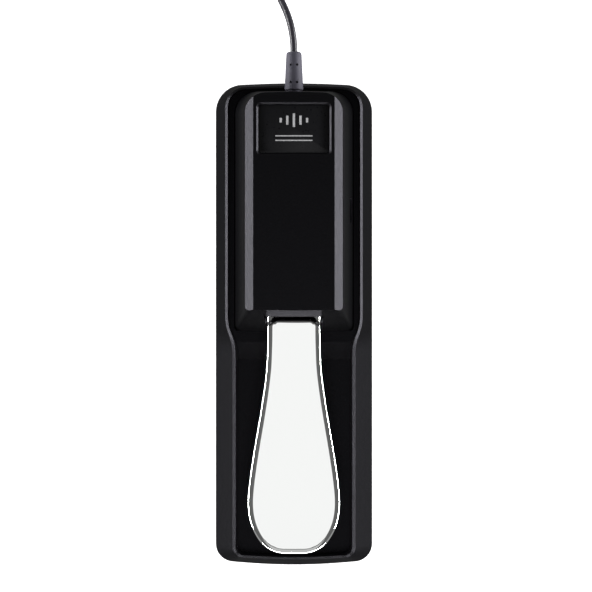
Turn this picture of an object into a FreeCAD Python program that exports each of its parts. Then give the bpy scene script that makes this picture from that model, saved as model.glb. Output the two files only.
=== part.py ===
"""Piano-style sustain pedal, built as the parts that come off it on a bench.

X runs across the pedal, Y runs from the player (-Y) to the cable end (+Y) and Z runs up.
The origin is the middle of the footprint, on the surface that the pedal stands on.
All sizes are in millimetres and degrees.
"""
import FreeCAD, Part
import Sketcher
import math
import os
import re

from FreeCAD import Placement, Rotation, Vector

doc = FreeCAD.newDocument("SustainPedal")
nodes = []


# ---------------------------------------------------------------- driving sizes

DRIVING_SIZES = {
    # sole and steel base plate
    "sole_thick": 2.0,
    "plate_thick": 1.5,
    "sole_fit": 0.25,
    "sheet_corner": 10.5,
    "shell_wall": 2.6,
    # base shell: a skirt with sloping sides round a deck and a well
    "base_half_width": 39.9,
    "base_rear": 121.5,
    "base_front": 120.6,
    "rear_bow": 2.0,
    "front_bow": 3.2,
    "skirt_low": 0.8,
    "skirt_top": 4.0,
    "rim_top": 16.0,
    "rim_rear": 119.2,
    "rim_front": 117.2,
    "rim_rear_half": 34.2,
    "rim_front_half": 30.2,
    "lip_width": 1.0,
    "lip_bevel_high": 1.1,
    "lip_bevel_in": 0.75,
    "rear_corner_low": 13.2,
    "rear_corner_high": 9.6,
    "front_corner_low": 8.5,
    "front_corner_high": 4.8,
    "waist_corner": 4.6,
    "waist_rear": -0.4,
    "waist_front": -10.2,
    "deck_top": 11.0,
    "deck_thick": 2.5,
    "deck_end": 9.0,
    "well_start": 18.0,
    "well_floor": 6.0,
    "well_wall_out": 0.7,
    "under_deck_edge": 1.8,
    "under_deck_start": -4.0,
    "deck_hole_half": 26.0,
    "deck_hole_start": 2.0,
    "deck_hole_end": 112.0,
    # housing cover over the mechanism
    "cover_half_low": 30.3,
    "cover_half_high": 23.2,
    "cover_rear_low": 117.8,
    "cover_rear_high": 112.8,
    "cover_front_low": -3.6,
    "cover_front_high": 7.8,
    "cover_top": 54.0,
    "cover_wall": 2.4,
    "roof_half": 19.8,
    "bevel_half": 23.8,
    "bevel_level": 50.5,
    "mouth_half": 14.6,
    "mouth_low": 29.0,
    "mouth_high": 44.5,
    "mouth_corner": 2.0,
    "cover_rear_bow": 0.8,
    "cover_front_bow": 0.6,
    "cover_corner_low": 11.5,
    "cover_corner_high": 9.0,
    "cover_front_corner": 2.4,
    "visor_edge": 4.4,
    "visor_foot": 4.0,
    "visor_drop": 3.4,
    "visor_back": 9.5,
    "visor_round": 1.6,
    "shelf_half": 9.0,
    "shelf_start": 10.0,
    "shelf_long": 7.5,
    "cable_hole": 3.6,
    # recessed emblem on the roof
    "emblem_half": 18.2,
    "emblem_rear": 108.3,
    "emblem_front": 82.6,
    "emblem_slope": 1.25,
    "emblem_depth": 1.08,
    "emblem_thick": 0.4,
    "emblem_gap": 0.1,
    "emblem_corner": 2.2,
    # treadle and its pivot
    "pivot_along": 70.0,
    "pivot_level": 34.5,
    "pin_radius": 2.0,
    "bush_bore": 2.05,
    "arm_half": 13.0,
    "arm_low": 38.5,
    "arm_high": 41.5,
    "arm_end": 79.0,
    "joggle_start": 4.9,
    "joggle_end": 1.3,
    "joggle_rise": 1.6,
    "lug_thick": 3.0,
    "eye_radius": 3.8,
    "treadle_half": 22.9,
    "treadle_thick": 4.6,
    "treadle_tip": 113.7,
    "ear_inner": 14.0,
    "ear_thick": 2.0,
    "ear_long": 13.0,
    "ear_crown": 4.5,
    "bracket_long": 16.0,
    "sleeve_radius": 3.0,
    "collar_thick": 0.6,
    "pin_head_radius": 3.4,
    "pin_head_thick": 1.4,
    "pin_over": 2.4,
    "groove_gap": 0.2,
    "groove_width": 0.8,
    "groove_radius": 1.5,
    "clip_radius": 4.0,
    "clip_thick": 0.7,
    "clip_mouth": 2.6,
    # return spring and stops
    "spring_along": 28.0,
    "spring_radius": 6.0,
    "spring_wire": 0.8,
    "spring_low": 5.0,
    "spring_high": 37.3,
    "spring_turns": 8.0,
    "seat_radius": 8.0,
    "guide_radius": 4.4,
    "guide_high": 11.0,
    "cup_radius": 7.6,
    "nose_radius": 4.2,
    "nose_long": 5.0,
    "stop_along": 16.0,
    "stop_pad_high": 33.1,
    "stop_pad_thick": 2.8,
    "bump_low": 44.0,
    "stop_half": 9.0,
    "stop_long": 8.0,
    "stop_plate": 2.0,
    "pad_corner": 1.0,
    # circuit board and switches
    "board_low": 25.0,
    "board_thick": 1.6,
    "board_half": 12.0,
    "board_front": 37.0,
    "board_rear": 96.0,
    "board_screw_across": 9.0,
    "board_screw_inset": 5.0,
    "pillar_radius": 2.5,
    "switch_along": 52.0,
    "switch_high": 36.3,
    "plunger_high": 38.35,
    "switch_half": 10.0,
    "switch_width": 6.4,
    "plunger_across": 4.0,
    "plunger_long": 3.0,
    "plunger_wide": 2.5,
    "plunger_deep": 3.2,
    "plunger_play": 0.15,
    "slot_along": 57.4,
    "slot_level": 21.5,
    "slot_floor": 25.6,
    "slot_high": 7.0,
    "slot_long": 13.4,
    "slot_rim": 2.0,
    "slot_block_start": 23.2,
    "knob_slot_high": 3.0,
    "knob_slot_play": 1.6,
    "knob_travel": 4.0,
    "knob_long": 4.0,
    "knob_high": 2.5,
    "knob_start": 21.4,
    "knob_reach": 6.2,
    "slide_start": 18.2,
    "slide_deep": 4.9,
    "slide_long": 14.0,
    "slide_high": 6.4,
    "slide_pin_pitch": 4.2,
    "slide_pin_long": 1.6,
    # cable, with a quarter inch mono plug
    "cord_radius": 1.75,
    "cord_level": 23.0,
    "relief_start": 117.1,
    "relief_end": 136.45,
    "relief_collar_start": 110.8,
    "relief_collar_radius": 4.8,
    "relief_collar_thick": 2.2,
    "relief_neck_radius": 3.4,
    "relief_wide_radius": 4.7,
    "relief_small_radius": 3.85,
    "jacket_start": 100.5,
    "clamp_half": 9.0,
    "clamp_start": 102.0,
    "clamp_long": 7.0,
    "clamp_screw_across": 6.0,
    "saddle_high": 4.0,
    "core_radius": 0.5,
    "lead_radius": 0.4,
    "tie_thick": 0.7,
    "coil_across": 4.0,
    "coil_along": 203.0,
    "coil_middle": 21.5,
    "coil_columns": 3.0,
    "coil_rows": 4.0,
    "plug_across": 19.0,
    "plug_along": 238.0,
    "plug_grip": 5.75,
    "plug_sleeve": 3.175,
    "guard_long": 14.0,
    "grip_long": 27.0,
    "plug_collar_long": 2.5,
    "plug_barrel_long": 21.0,
    "plug_neck_radius": 2.9,
    "plug_ring_long": 1.2,
    # screws
    "screw_radius": 1.45,
    "screw_hole": 1.5,
    "head_radius": 3.0,
    "head_sink": 1.6,
    "small_head_radius": 2.6,
    "small_head_high": 1.6,
    "post_radius": 3.2,
    "base_post_high": 6.5,
    "base_screw_reach": 4.0,
    "base_pilot": 5.0,
    "cover_screw_reach": 12.0,
    "cover_pilot": 14.0,
    "cover_screw_across": 20.0,
    "cover_screw_rear": 105.0,
    "cover_screw_front": 14.0,
    "base_screw_across": 34.0,
    "base_screw_rear": -30.0,
    "base_screw_front": -104.0,
    "bracket_screw_across": 8.0,
    "bracket_screw_rear": 74.5,
    "bracket_screw_front": 65.5,
}

sheet = doc.addObject("Spreadsheet::Sheet", "Sizes")
for row, (alias, number) in enumerate(DRIVING_SIZES.items(), start=1):
    sheet.set("A%d" % row, alias.replace("_", " "))
    sheet.set("B%d" % row, str(number))
    sheet.setAlias("B%d" % row, alias)
doc.recompute()


def size(alias):
    """One driving size, read back from the sheet."""
    return float(getattr(sheet, alias))


def from_sheet(text):
    """An expression in which every word is an alias of the sheet."""
    return re.sub(r"[a-z_]+", lambda word: "Sizes." + word.group(), str(text))


def bind(thing, **sizes):
    """Bind properties to the sheet; Base_x stands for Placement.Base.x."""
    for name, text in sizes.items():
        path = name.replace("Base_", "Placement.Base.")
        thing.setExpression(path, from_sheet(text))


def keep(thing, label):
    """Name a finished sub-part; its label is its file's name."""
    thing.Label = label
    nodes.append(thing)
    return thing


# ---------------------------------------------------------------- solids by dimensions

ALONG = {
    "Z": Rotation(),
    "X": Rotation(Vector(0, 1, 0), 90),
    "Y": Rotation(Vector(1, 0, 0), -90),
}


def box(name, corner, spans):
    """A block from its low corner and its three spans, all expressions."""
    block = doc.addObject("Part::Box", name)
    bind(block, Length=spans[0], Width=spans[1], Height=spans[2])
    bind(block, Base_x=corner[0], Base_y=corner[1], Base_z=corner[2])
    return block


def cylinder(name, foot, radius, height, along="Z"):
    """A rod that starts at its foot and runs along one axis."""
    rod = doc.addObject("Part::Cylinder", name)
    rod.Placement = Placement(Vector(), ALONG[along])
    bind(rod, Radius=radius, Height=height)
    bind(rod, Base_x=foot[0], Base_y=foot[1], Base_z=foot[2])
    return rod


def cone(name, foot, radius_low, radius_high, height, along="Z"):
    """A taper that starts at its foot and runs along one axis."""
    taper = doc.addObject("Part::Cone", name)
    taper.Placement = Placement(Vector(), ALONG[along])
    bind(taper, Radius1=radius_low, Radius2=radius_high, Height=height)
    bind(taper, Base_x=foot[0], Base_y=foot[1], Base_z=foot[2])
    return taper


def fused(name, pieces):
    joined = doc.addObject("Part::MultiFuse", name)
    joined.Shapes = pieces
    joined.Refine = True
    return joined


def cut(name, blank, tools):
    """The blank with one tool, or several fused tools, taken away."""
    trimmed = doc.addObject("Part::Cut", name)
    trimmed.Base = blank
    trimmed.Tool = tools[0] if len(tools) == 1 else fused(name + "_tools", tools)
    return trimmed


def group(name, pieces):
    """Identical loose pieces that share one node."""
    loose = doc.addObject("Part::Compound", name)
    loose.Links = pieces
    return loose


def screw(name, across, along, head_low, head_radius, shank_low, shank_high):
    """A pan-head screw with its head low and its shank pointing up."""
    head = cylinder(name + "_head", (across, along, head_low), head_radius,
                    "%s - (%s)" % (shank_low, head_low))
    shank = cylinder(name + "_shank", (across, along, shank_low), "screw_radius",
                     "%s - (%s)" % (shank_high, shank_low))
    return fused(name, [head, shank])


# ---------------------------------------------------------------- bodies by sketches

def new_body(label):
    return keep(doc.addObject("PartDesign::Body", label), label)


def sketch(body, name, role="XY_Plane"):
    """A sketch on one of the body's own origin planes."""
    drawing = body.newObject("Sketcher::SketchObject", name)
    plane = [item for item in body.Origin.OriginFeatures if item.Role == role][0]
    drawing.AttachmentSupport = [(plane, "")]
    drawing.MapMode = "FlatFace"
    return drawing


def dimension(drawing, constraint, text):
    """Add one driving dimension and bind it to the sheet."""
    index = drawing.addConstraint(constraint)
    drawing.setExpression("Constraints[%d]" % index, from_sheet(text))


def draw_rectangle(drawing, width, length):
    """A rectangle centred on the sketch's origin."""
    corners = [Vector(-9, -9, 0), Vector(9, -9, 0), Vector(9, 9, 0), Vector(-9, 9, 0)]
    sides = []
    for start, end in zip(corners, corners[1:] + corners[:1]):
        sides.append(drawing.addGeometry(Part.LineSegment(start, end), False))
    for side, after in zip(sides, sides[1:] + sides[:1]):
        drawing.addConstraint(Sketcher.Constraint("Coincident", side, 2, after, 1))
    for side, direction in zip(sides, ("Horizontal", "Vertical") * 2):
        drawing.addConstraint(Sketcher.Constraint(direction, side))
    drawing.addConstraint(Sketcher.Constraint("Symmetric", sides[0], 1, sides[2], 1, -1, 1))
    dimension(drawing, Sketcher.Constraint("DistanceX", sides[0], 1, sides[0], 2, 18), width)
    dimension(drawing, Sketcher.Constraint("DistanceY", sides[1], 1, sides[1], 2, 18), length)


def draw_circle(drawing, radius, across, along):
    """A circle whose centre is dimensioned from the sketch's origin."""
    here = Vector(size(across[1:]) * -1 if across.startswith("-") else size(across), size(along), 0)
    ring = drawing.addGeometry(Part.Circle(here, Vector(0, 0, 1), 1.0), False)
    dimension(drawing, Sketcher.Constraint("Radius", ring, 1.0), radius)
    dimension(drawing, Sketcher.Constraint("DistanceX", -1, 1, ring, 3, here.x), across)
    dimension(drawing, Sketcher.Constraint("DistanceY", -1, 1, ring, 3, here.y), along)


def pad(body, drawing, height):
    solid = body.newObject("PartDesign::Pad", drawing.Name + "_pad")
    solid.Profile = drawing
    solid.setExpression("Length", from_sheet(height))
    drawing.Visibility = False
    return solid


def drill(body, drawing):
    """Cut the drawing's holes right through the pad above its plane."""
    volume = body.Shape.Volume
    hole = body.newObject("PartDesign::Pocket", drawing.Name + "_pocket")
    hole.Profile = drawing
    hole.Type = "ThroughAll"
    hole.Reversed = True
    doc.recompute()
    if body.Shape.Volume > volume - 0.1:
        raise ValueError(body.Label + ": the holes cut nothing")
    return hole


def round_edges(body, feature, radius, wanted):
    """Round the edges of a feature that the test picks out."""
    doc.recompute()
    edges = feature.Shape.Edges
    names = ["Edge%d" % (i + 1) for i, edge in enumerate(edges) if wanted(edge)]
    rounded = body.newObject("PartDesign::Fillet", feature.Name + "_round")
    rounded.Base = (feature, names)
    rounded.setExpression("Radius", from_sheet(radius))
    return rounded


def is_upright(edge):
    ends = [vertex.Point for vertex in edge.Vertexes]
    return len(ends) == 2 and abs(ends[0].z - ends[1].z) > 0.9 * edge.Length


# ---------------------------------------------------------------- outlines and paths

def corner_arc(before, corner, after, reach):
    """The points where an arc starts, has its middle and ends, reach short of a corner."""
    back = (before - corner).normalize()
    ahead = (after - corner).normalize()
    start = corner + back * reach
    end = corner + ahead * reach
    half = back.getAngle(ahead) / 2.0
    if math.pi / 2.0 - half < 1e-4:
        return start, None, end
    bisector = (back + ahead).normalize()
    radius = reach * math.tan(half)
    middle = corner + bisector * (reach / math.cos(half) - radius)
    return start, middle, end


def outline(points, level, place=None):
    """A closed wire through corners (across, along, reach), each rounded from reach away.

    A corner that lies in a straight side becomes a short straight edge, so that two
    outlines with the same number of corners always loft edge to edge.
    """
    corners = [Vector(across, along, level) for across, along, _ in points]
    reaches = [reach for _, _, reach in points]
    arcs = []
    for i, corner in enumerate(corners):
        after = corners[(i + 1) % len(corners)]
        arcs.append(corner_arc(corners[i - 1], corner, after, reaches[i]))
    edges = []
    for i, (start, middle, end) in enumerate(arcs):
        if middle is None:
            edges.append(Part.LineSegment(start, end).toShape())
        else:
            edges.append(Part.Arc(start, middle, end).toShape())
        following = arcs[(i + 1) % len(arcs)][0]
        edges.append(Part.LineSegment(end, following).toShape())
    wire = Part.Wire(edges)
    if place is not None:
        wire.Placement = place
    return wire


def mirrored(right_side):
    """A whole outline from its rear middle, right side and front middle."""
    left_side = [(-across, along, reach) for across, along, reach in reversed(right_side[1:-1])]
    return right_side + left_side


def prism(points, low, high):
    return Part.Face(outline(points, low)).extrude(Vector(0, 0, high - low))


def profile_across(points, half):
    """A profile of (along, level) points, drawn out across the pedal."""
    wire = Part.makePolygon([Vector(-half, along, level) for along, level in points + points[:1]])
    return Part.Face(wire).extrude(Vector(2 * half, 0, 0))


def path_through(points, report=None):
    """Straight runs joined by tangent arcs, as large as the two runs at a point allow."""
    corners = [Vector(*point) for point in points]
    edges = []
    radii = []
    here = corners[0]
    for before, corner, after in zip(corners, corners[1:], corners[2:]):
        reach = 0.45 * min((corner - before).Length, (after - corner).Length)
        start, middle, end = corner_arc(before, corner, after, reach)
        edges.append(Part.LineSegment(here, start).toShape())
        edges.append(Part.Arc(start, middle, end).toShape())
        turn = (corner - before).getAngle(after - corner)
        radii.append(reach / math.tan(turn / 2.0))
        here = end
    edges.append(Part.LineSegment(here, corners[-1]).toShape())
    wire = Part.Wire(edges)
    if report:
        print(report, "length %.1f" % wire.Length, "radii", ["%.1f" % radius for radius in radii])
    return wire


def tube(points, radius, report=None):
    """A round cord or wire along its route; its volume is compared with section times length."""
    path = path_through(points, report)
    direction = Vector(*points[1]) - Vector(*points[0])
    section = Part.Wire(Part.Circle(Vector(*points[0]), direction, radius).toShape())
    solid = path.makePipeShell([section], True, False)
    wanted = math.pi * radius ** 2 * path.Length
    if abs(solid.Volume - wanted) > 0.01 * wanted:
        raise ValueError("tube volume %.1f, wanted %.1f" % (solid.Volume, wanted))
    return solid


def feature(label, shape):
    """A sub-part whose shape is worked out from the sheet."""
    thing = doc.addObject("Part::Feature", label)
    thing.Shape = shape
    thing.Placement = Placement()
    return keep(thing, label)


# ---------------------------------------------------------------- sole and base plate

SCREW_PLACES = [
    (side + across, along)
    for side in ("", "-")
    for across, along in (
        ("cover_screw_across", "cover_screw_rear"),
        ("cover_screw_across", "cover_screw_front"),
        ("base_screw_across", "base_screw_rear"),
        ("base_screw_across", "base_screw_front"),
    )
]


BRACKET_SCREWS = [(across, along) for across in ("bracket_screw_across", "-bracket_screw_across")
                  for along in ("bracket_screw_rear", "bracket_screw_front")]


def make_sheet(label, level, thick, hole_radius, hole_places):
    """The sole and the base plate are flat sheets with the same outline."""
    body = new_body(label)
    bind(body, Base_z=level)
    blank = sketch(body, label + "_outline")
    draw_rectangle(blank, "2 * (base_half_width - shell_wall - sole_fit)",
                   "base_rear + base_front - 2 * (shell_wall + sole_fit)")
    solid = pad(body, blank, thick)
    body.Tip = round_edges(body, solid, "sheet_corner", is_upright)
    doc.recompute()
    holes = sketch(body, label + "_holes")
    for across, along in hole_places:
        draw_circle(holes, hole_radius, across, along)
    body.Tip = drill(body, holes)


make_sheet("rubber_sole", "0", "sole_thick", "head_radius + 0.4", SCREW_PLACES)
make_sheet("bottom_plate", "sole_thick", "plate_thick", "screw_hole", SCREW_PLACES + BRACKET_SCREWS)
floor_level = "(sole_thick + plate_thick)"


# ---------------------------------------------------------------- base shell

def base_outline(level, inset):
    """The skirt's outline at a level: upright below skirt_top, sloping in to the rim above."""
    rise = max(0.0, (level - size("skirt_top")) / (size("rim_top") - size("skirt_top")))

    def between(low, high):
        return low + rise * (high - low)

    half = size("base_half_width")
    rear_half = between(half, size("rim_rear_half")) - inset
    front_half = between(half, size("rim_front_half")) - inset
    rear = between(size("base_rear"), size("rim_rear")) - inset
    front = between(size("base_front"), size("rim_front")) - inset
    waist_reach = size("waist_corner")
    rear_reach = max(2.0, between(size("rear_corner_low"), size("rear_corner_high")) - inset)
    front_reach = max(2.0, between(size("front_corner_low"), size("front_corner_high")) - inset)
    return mirrored([
        (0.0, rear + size("rear_bow") * between(1.0, 0.7), 0.6 * rear_half),
        (rear_half, rear, rear_reach),
        (rear_half, size("waist_rear"), waist_reach),
        (front_half, size("waist_front"), waist_reach),
        (front_half, -front, front_reach),
        (0.0, -front - size("front_bow") * between(1.0, 0.5), 0.6 * front_half),
    ])


def make_base_shell():
    """One moulding: sloping skirt, rim lip, deck under the cover and well under the treadle."""
    rim = size("rim_top")
    floor = size("sole_thick") + size("plate_thick")
    wall = size("shell_wall")
    low = [size("skirt_low"), size("skirt_top"), rim - size("lip_bevel_high")]
    wires = [outline(base_outline(level, 0.0), level) for level in low]
    wires.append(outline(base_outline(rim, size("lip_bevel_in")), rim))
    skirt = Part.makeLoft(wires, True, True)

    # everything inside the lip, down to the deck at the rear and to the well floor in front
    over_floor = profile_across([
        (-150.0, size("well_floor")), (-size("well_start"), size("well_floor")),
        (-size("deck_end"), size("deck_top")), (150.0, size("deck_top")),
        (150.0, rim + 1.0), (-150.0, rim + 1.0)], 60.0)
    inside_lip = base_outline(rim, size("lip_width"))
    pocket = prism(inside_lip, floor, rim + 1.0).common(over_floor)
    shell = skirt.cut(pocket)

    # the underside: a recess for the plate and sole, and hollows in the rim and under the deck
    recess = prism(base_outline(floor, wall), 0.0, floor)
    hollow_top = size("deck_top") + 0.2
    hollow = Part.makeLoft([outline(base_outline(level, wall), level)
                            for level in (floor - 0.1, hollow_top)], True, True)
    well_wall = prism(base_outline(rim, -size("well_wall_out")), 0.0, hollow_top + 1.0)
    hollow = hollow.cut(well_wall)
    under_deck = prism(base_outline(rim, size("lip_width") + size("under_deck_edge")), floor - 0.1,
                       size("deck_top") - size("deck_thick"))
    behind = Part.makeBox(100.0, 200.0, 40.0, Vector(-50.0, size("under_deck_start"), 0.0))
    under_deck = under_deck.common(behind)
    deck_hole = Part.makeBox(2 * size("deck_hole_half"), size("deck_hole_end") - size("deck_hole_start"),
                             20.0, Vector(-size("deck_hole_half"), size("deck_hole_start"), 0.0))
    shell = shell.cut(recess).cut(hollow).cut(under_deck).cut(deck_hole)

    # screw posts in the rim
    for side in (1, -1):
        for along in (size("base_screw_rear"), size("base_screw_front")):
            foot = Vector(side * size("base_screw_across"), along, floor)
            post = Part.makeCylinder(size("post_radius"), size("base_post_high"), foot)
            shell = shell.fuse(post.common(skirt).cut(pocket))
            shell = shell.cut(Part.makeCylinder(size("screw_hole"), size("base_pilot"), foot))
    feature("base_shell", shell.removeSplitter())


make_base_shell()


# ---------------------------------------------------------------- housing cover

def cover_draft(level):
    """How far up the cover a level is, from 0 at its foot to 1 at its roof."""
    return (level - size("deck_top")) / (size("cover_top") - size("deck_top"))


def cover_solid(low, high, inset):
    """The drafted body of the cover between two levels, with its rounded rear corners."""
    wires = []
    for level in (low, high):
        rise = cover_draft(level)

        def between(foot, roof):
            return foot + rise * (roof - foot)

        half = between(size("cover_half_low"), size("cover_half_high")) - inset
        rear = between(size("cover_rear_low"), size("cover_rear_high")) - inset
        front = between(size("cover_front_low"), size("cover_front_high")) + inset
        corner = between(size("cover_corner_low"), size("cover_corner_high")) - inset
        wires.append(outline(mirrored([
            (0.0, rear + size("cover_rear_bow"), 0.5 * half),
            (half, rear, corner),
            (half, front, max(0.8, size("cover_front_corner") - inset)),
            (0.0, front - size("cover_front_bow"), 0.5 * half),
        ]), level))
    solid = Part.makeLoft(wires, True, True)
    for side in (1, -1):
        solid = solid.cut(edge_bevel(side, inset))
    return solid


def edge_bevel(side, inset):
    """What is cut off along the roof's long edges, moved in by the wall."""
    upper = Vector(size("roof_half"), 0, size("cover_top"))
    lower = Vector(size("bevel_half"), 0, size("bevel_level"))
    run = (lower - upper).normalize()
    outward = Vector(-run.z, 0, run.x)
    upper = upper - outward * inset
    corners = [upper - run * 30, upper + run * 30]
    corners += [corners[1] + outward * 30, corners[0] + outward * 30]
    corners = [Vector(side * corner.x, -60.0, corner.z) for corner in corners]
    return Part.Face(Part.makePolygon(corners + corners[:1])).extrude(Vector(0, 260.0, 0))


def visor():
    """The hood over the mouth: a sloping lip that stands proud of the front."""
    top = size("cover_top")
    lip = profile_across([
        (size("cover_front_high") + 2.0, top), (size("cover_front_high"), top),
        (size("visor_edge"), top - size("visor_drop")), (size("visor_foot"), size("mouth_high")),
        (size("visor_back"), size("mouth_high"))], size("mouth_half"))
    front = [edge for edge in lip.Edges if edge.BoundBox.XLength < 0.01
             and edge.BoundBox.YMax < size("cover_front_high") + 0.1]
    return lip.makeFillet(size("visor_round"), front)


def slot_pocket(depth_from, depth_to, height, length):
    """A rounded slot in the right-hand wall, between two distances from the middle."""
    level = size("slot_level")
    along = size("slot_along")
    reach = height / 2.0 - 0.05
    points = [(length / 2, height / 2, reach), (-length / 2, height / 2, reach),
              (-length / 2, -height / 2, reach), (length / 2, -height / 2, reach)]
    turn = Placement(Vector(depth_from, along, level), Rotation(Vector(1, 1, 1), 120))
    return Part.Face(outline(points, 0.0, turn)).extrude(Vector(depth_to - depth_from, 0, 0))


def make_housing_cover():
    """The drafted cover, hollow, with its mouth, emblem recess, switch slot and screw posts."""
    low = size("deck_top")
    top = size("cover_top")
    wall = size("cover_wall")
    floor = size("sole_thick") + size("plate_thick")
    outside = cover_solid(low, top, 0.0).fuse(visor())
    room = cover_solid(low - 0.1, top - wall, wall)
    cover = outside.cut(room)

    # screw posts and the shelf that carries the upper stop
    for side in (1, -1):
        for along in (size("cover_screw_rear"), size("cover_screw_front")):
            foot = Vector(side * size("cover_screw_across"), along, floor)
            post = Part.makeCylinder(size("post_radius"), top - floor - 1.0, foot)
            upper = post.common(cover_solid(low, top, 0.5 * wall))
            lower = Part.makeCylinder(size("post_radius"), low + 1.0 - floor, foot)
            cover = cover.fuse(upper).fuse(lower)
            cover = cover.cut(Part.makeCylinder(size("screw_hole"), size("cover_pilot"), foot))
    shelf = Part.makeBox(2 * size("shelf_half"), size("shelf_long"), top - 1.0 - size("bump_low"),
                         Vector(-size("shelf_half"), size("shelf_start"), size("bump_low")))
    cover = cover.fuse(shelf)

    # the block behind the polarity switch's slot
    block_long = size("slot_long") + 2 * size("slot_rim")
    block_high = size("slot_high") + 2 * size("slot_rim")
    block = Part.makeBox(9.0, block_long, block_high, Vector(
        size("slot_block_start"), size("slot_along") - block_long / 2, size("slot_level") - block_high / 2))
    cover = cover.fuse(block.common(cover_solid(low, top, 0.5)))
    cover = cover.cut(slot_pocket(size("slot_floor"), 40.0, size("slot_high"), size("slot_long")))
    knob_slot = size("knob_long") + size("knob_travel") + size("knob_slot_play")
    cover = cover.cut(slot_pocket(20.0, 30.0, size("knob_slot_high"), knob_slot))

    # mouth for the treadle, hole for the cable
    mouth = Part.makeBox(2 * size("mouth_half"), 24.0, size("mouth_high") - size("mouth_low"),
                         Vector(-size("mouth_half"), -14.0, size("mouth_low")))
    sides = [edge for edge in mouth.Edges if edge.BoundBox.YLength > 20.0
             and edge.BoundBox.ZMax < size("mouth_low") + 0.1]
    cover = cover.cut(mouth.makeFillet(size("mouth_corner"), sides))
    cable = Part.makeCylinder(size("cable_hole"), 20.0, Vector(0, 104.0, size("cord_level")),
                              Vector(0, 1, 0))
    cover = cover.cut(cable)

    # emblem recess, with sloping sides
    slope = size("emblem_slope")
    depth = size("emblem_depth")
    wires = []
    for inset, level in ((slope, top - depth), (0.0, top), (0.0, top + 1.0)):
        half = size("emblem_half") - inset
        rear = size("emblem_rear") - inset
        front = size("emblem_front") + inset
        reach = size("emblem_corner") - 0.5 * inset
        wires.append(outline([(half, rear, reach), (half, front, reach),
                              (-half, front, reach), (-half, rear, reach)], level))
    cover = cover.cut(Part.makeLoft(wires, True, True))
    feature("housing_cover", cover.removeSplitter())


make_housing_cover()


# ---------------------------------------------------------------- emblem plate

def make_emblem():
    """A thin printed plate, stuck in the roof's recess."""
    body = new_body("emblem_plate")
    bind(body, Base_y="(emblem_rear + emblem_front) / 2", Base_z="cover_top - emblem_depth")
    blank = sketch(body, "emblem_outline")
    draw_rectangle(blank, "2 * (emblem_half - emblem_slope - emblem_gap)",
                   "emblem_rear - emblem_front - 2 * (emblem_slope + emblem_gap)")
    solid = pad(body, blank, "emblem_thick")
    body.Tip = round_edges(body, solid, "emblem_corner - emblem_slope / 2", is_upright)


make_emblem()


# ---------------------------------------------------------------- treadle

def treadle_plan():
    """The treadle from above: a neck that swells into a round-ended tongue."""
    tip = size("treadle_tip")
    half = size("arm_half")
    widest = size("treadle_half")
    return mirrored([
        (0.0, size("arm_end"), 4.0),
        (half, size("arm_end"), 2.0),
        (half, -6.0, 3.0),
        (half + 0.7, -27.3, 16.0),
        (widest, -79.2, 9.0),
        (widest, -96.0, 7.5),
        (widest - 6.0, 5.0 - tip, 5.0),
        (9.0, 0.1 - tip, 4.0),
        (0.0, -tip, 4.0),
    ])


def treadle_profile():
    """The treadle from the side: level in the cover, a step up in the mouth, then a slow fall."""
    thick = size("treadle_thick")
    arm = size("arm_high")
    high = arm + size("joggle_rise")
    fall = [(-24.0, 1.3), (-62.0, 4.2), (-92.0, 5.2), (-106.0, 7.2), (-size("treadle_tip") - 1.0, 11.0)]
    upper = [(size("arm_end") + 1.0, arm), (size("joggle_start"), arm), (size("joggle_end"), high)]
    upper += [(along, high - drop) for along, drop in fall]
    lower = [(along, high - drop - thick) for along, drop in reversed(fall)]
    lower += [(-9.0, high - 0.8 - thick), (size("joggle_start"), size("arm_low")),
              (size("arm_end") + 1.0, size("arm_low"))]
    return profile_across(upper + lower, 30.0)


def make_treadle():
    """The chromed treadle: tongue, neck and the two lugs that hang on the pivot pin."""
    plate = prism(treadle_plan(), 10.0, 60.0).common(treadle_profile())
    along = size("pivot_along")
    level = size("pivot_level")
    for side in (1, -1):
        inner = size("arm_half") - size("lug_thick")
        low = min(side * inner, side * size("arm_half"))
        radius = size("eye_radius")
        lug = Part.makeBox(size("lug_thick"), 2 * radius, size("arm_low") + 1.0 - level,
                           Vector(low, along - radius, level))
        eye = Part.makeCylinder(radius, size("lug_thick"), Vector(low, along, level), Vector(1, 0, 0))
        plate = plate.fuse(lug).fuse(eye)
    axle = Part.makeCylinder(size("sleeve_radius"), 60.0, Vector(-30.0, along, level), Vector(1, 0, 0))
    plate = plate.cut(axle).removeSplitter()
    feature("pedal_treadle", plate)


make_treadle()


# ---------------------------------------------------------------- pivot

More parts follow.
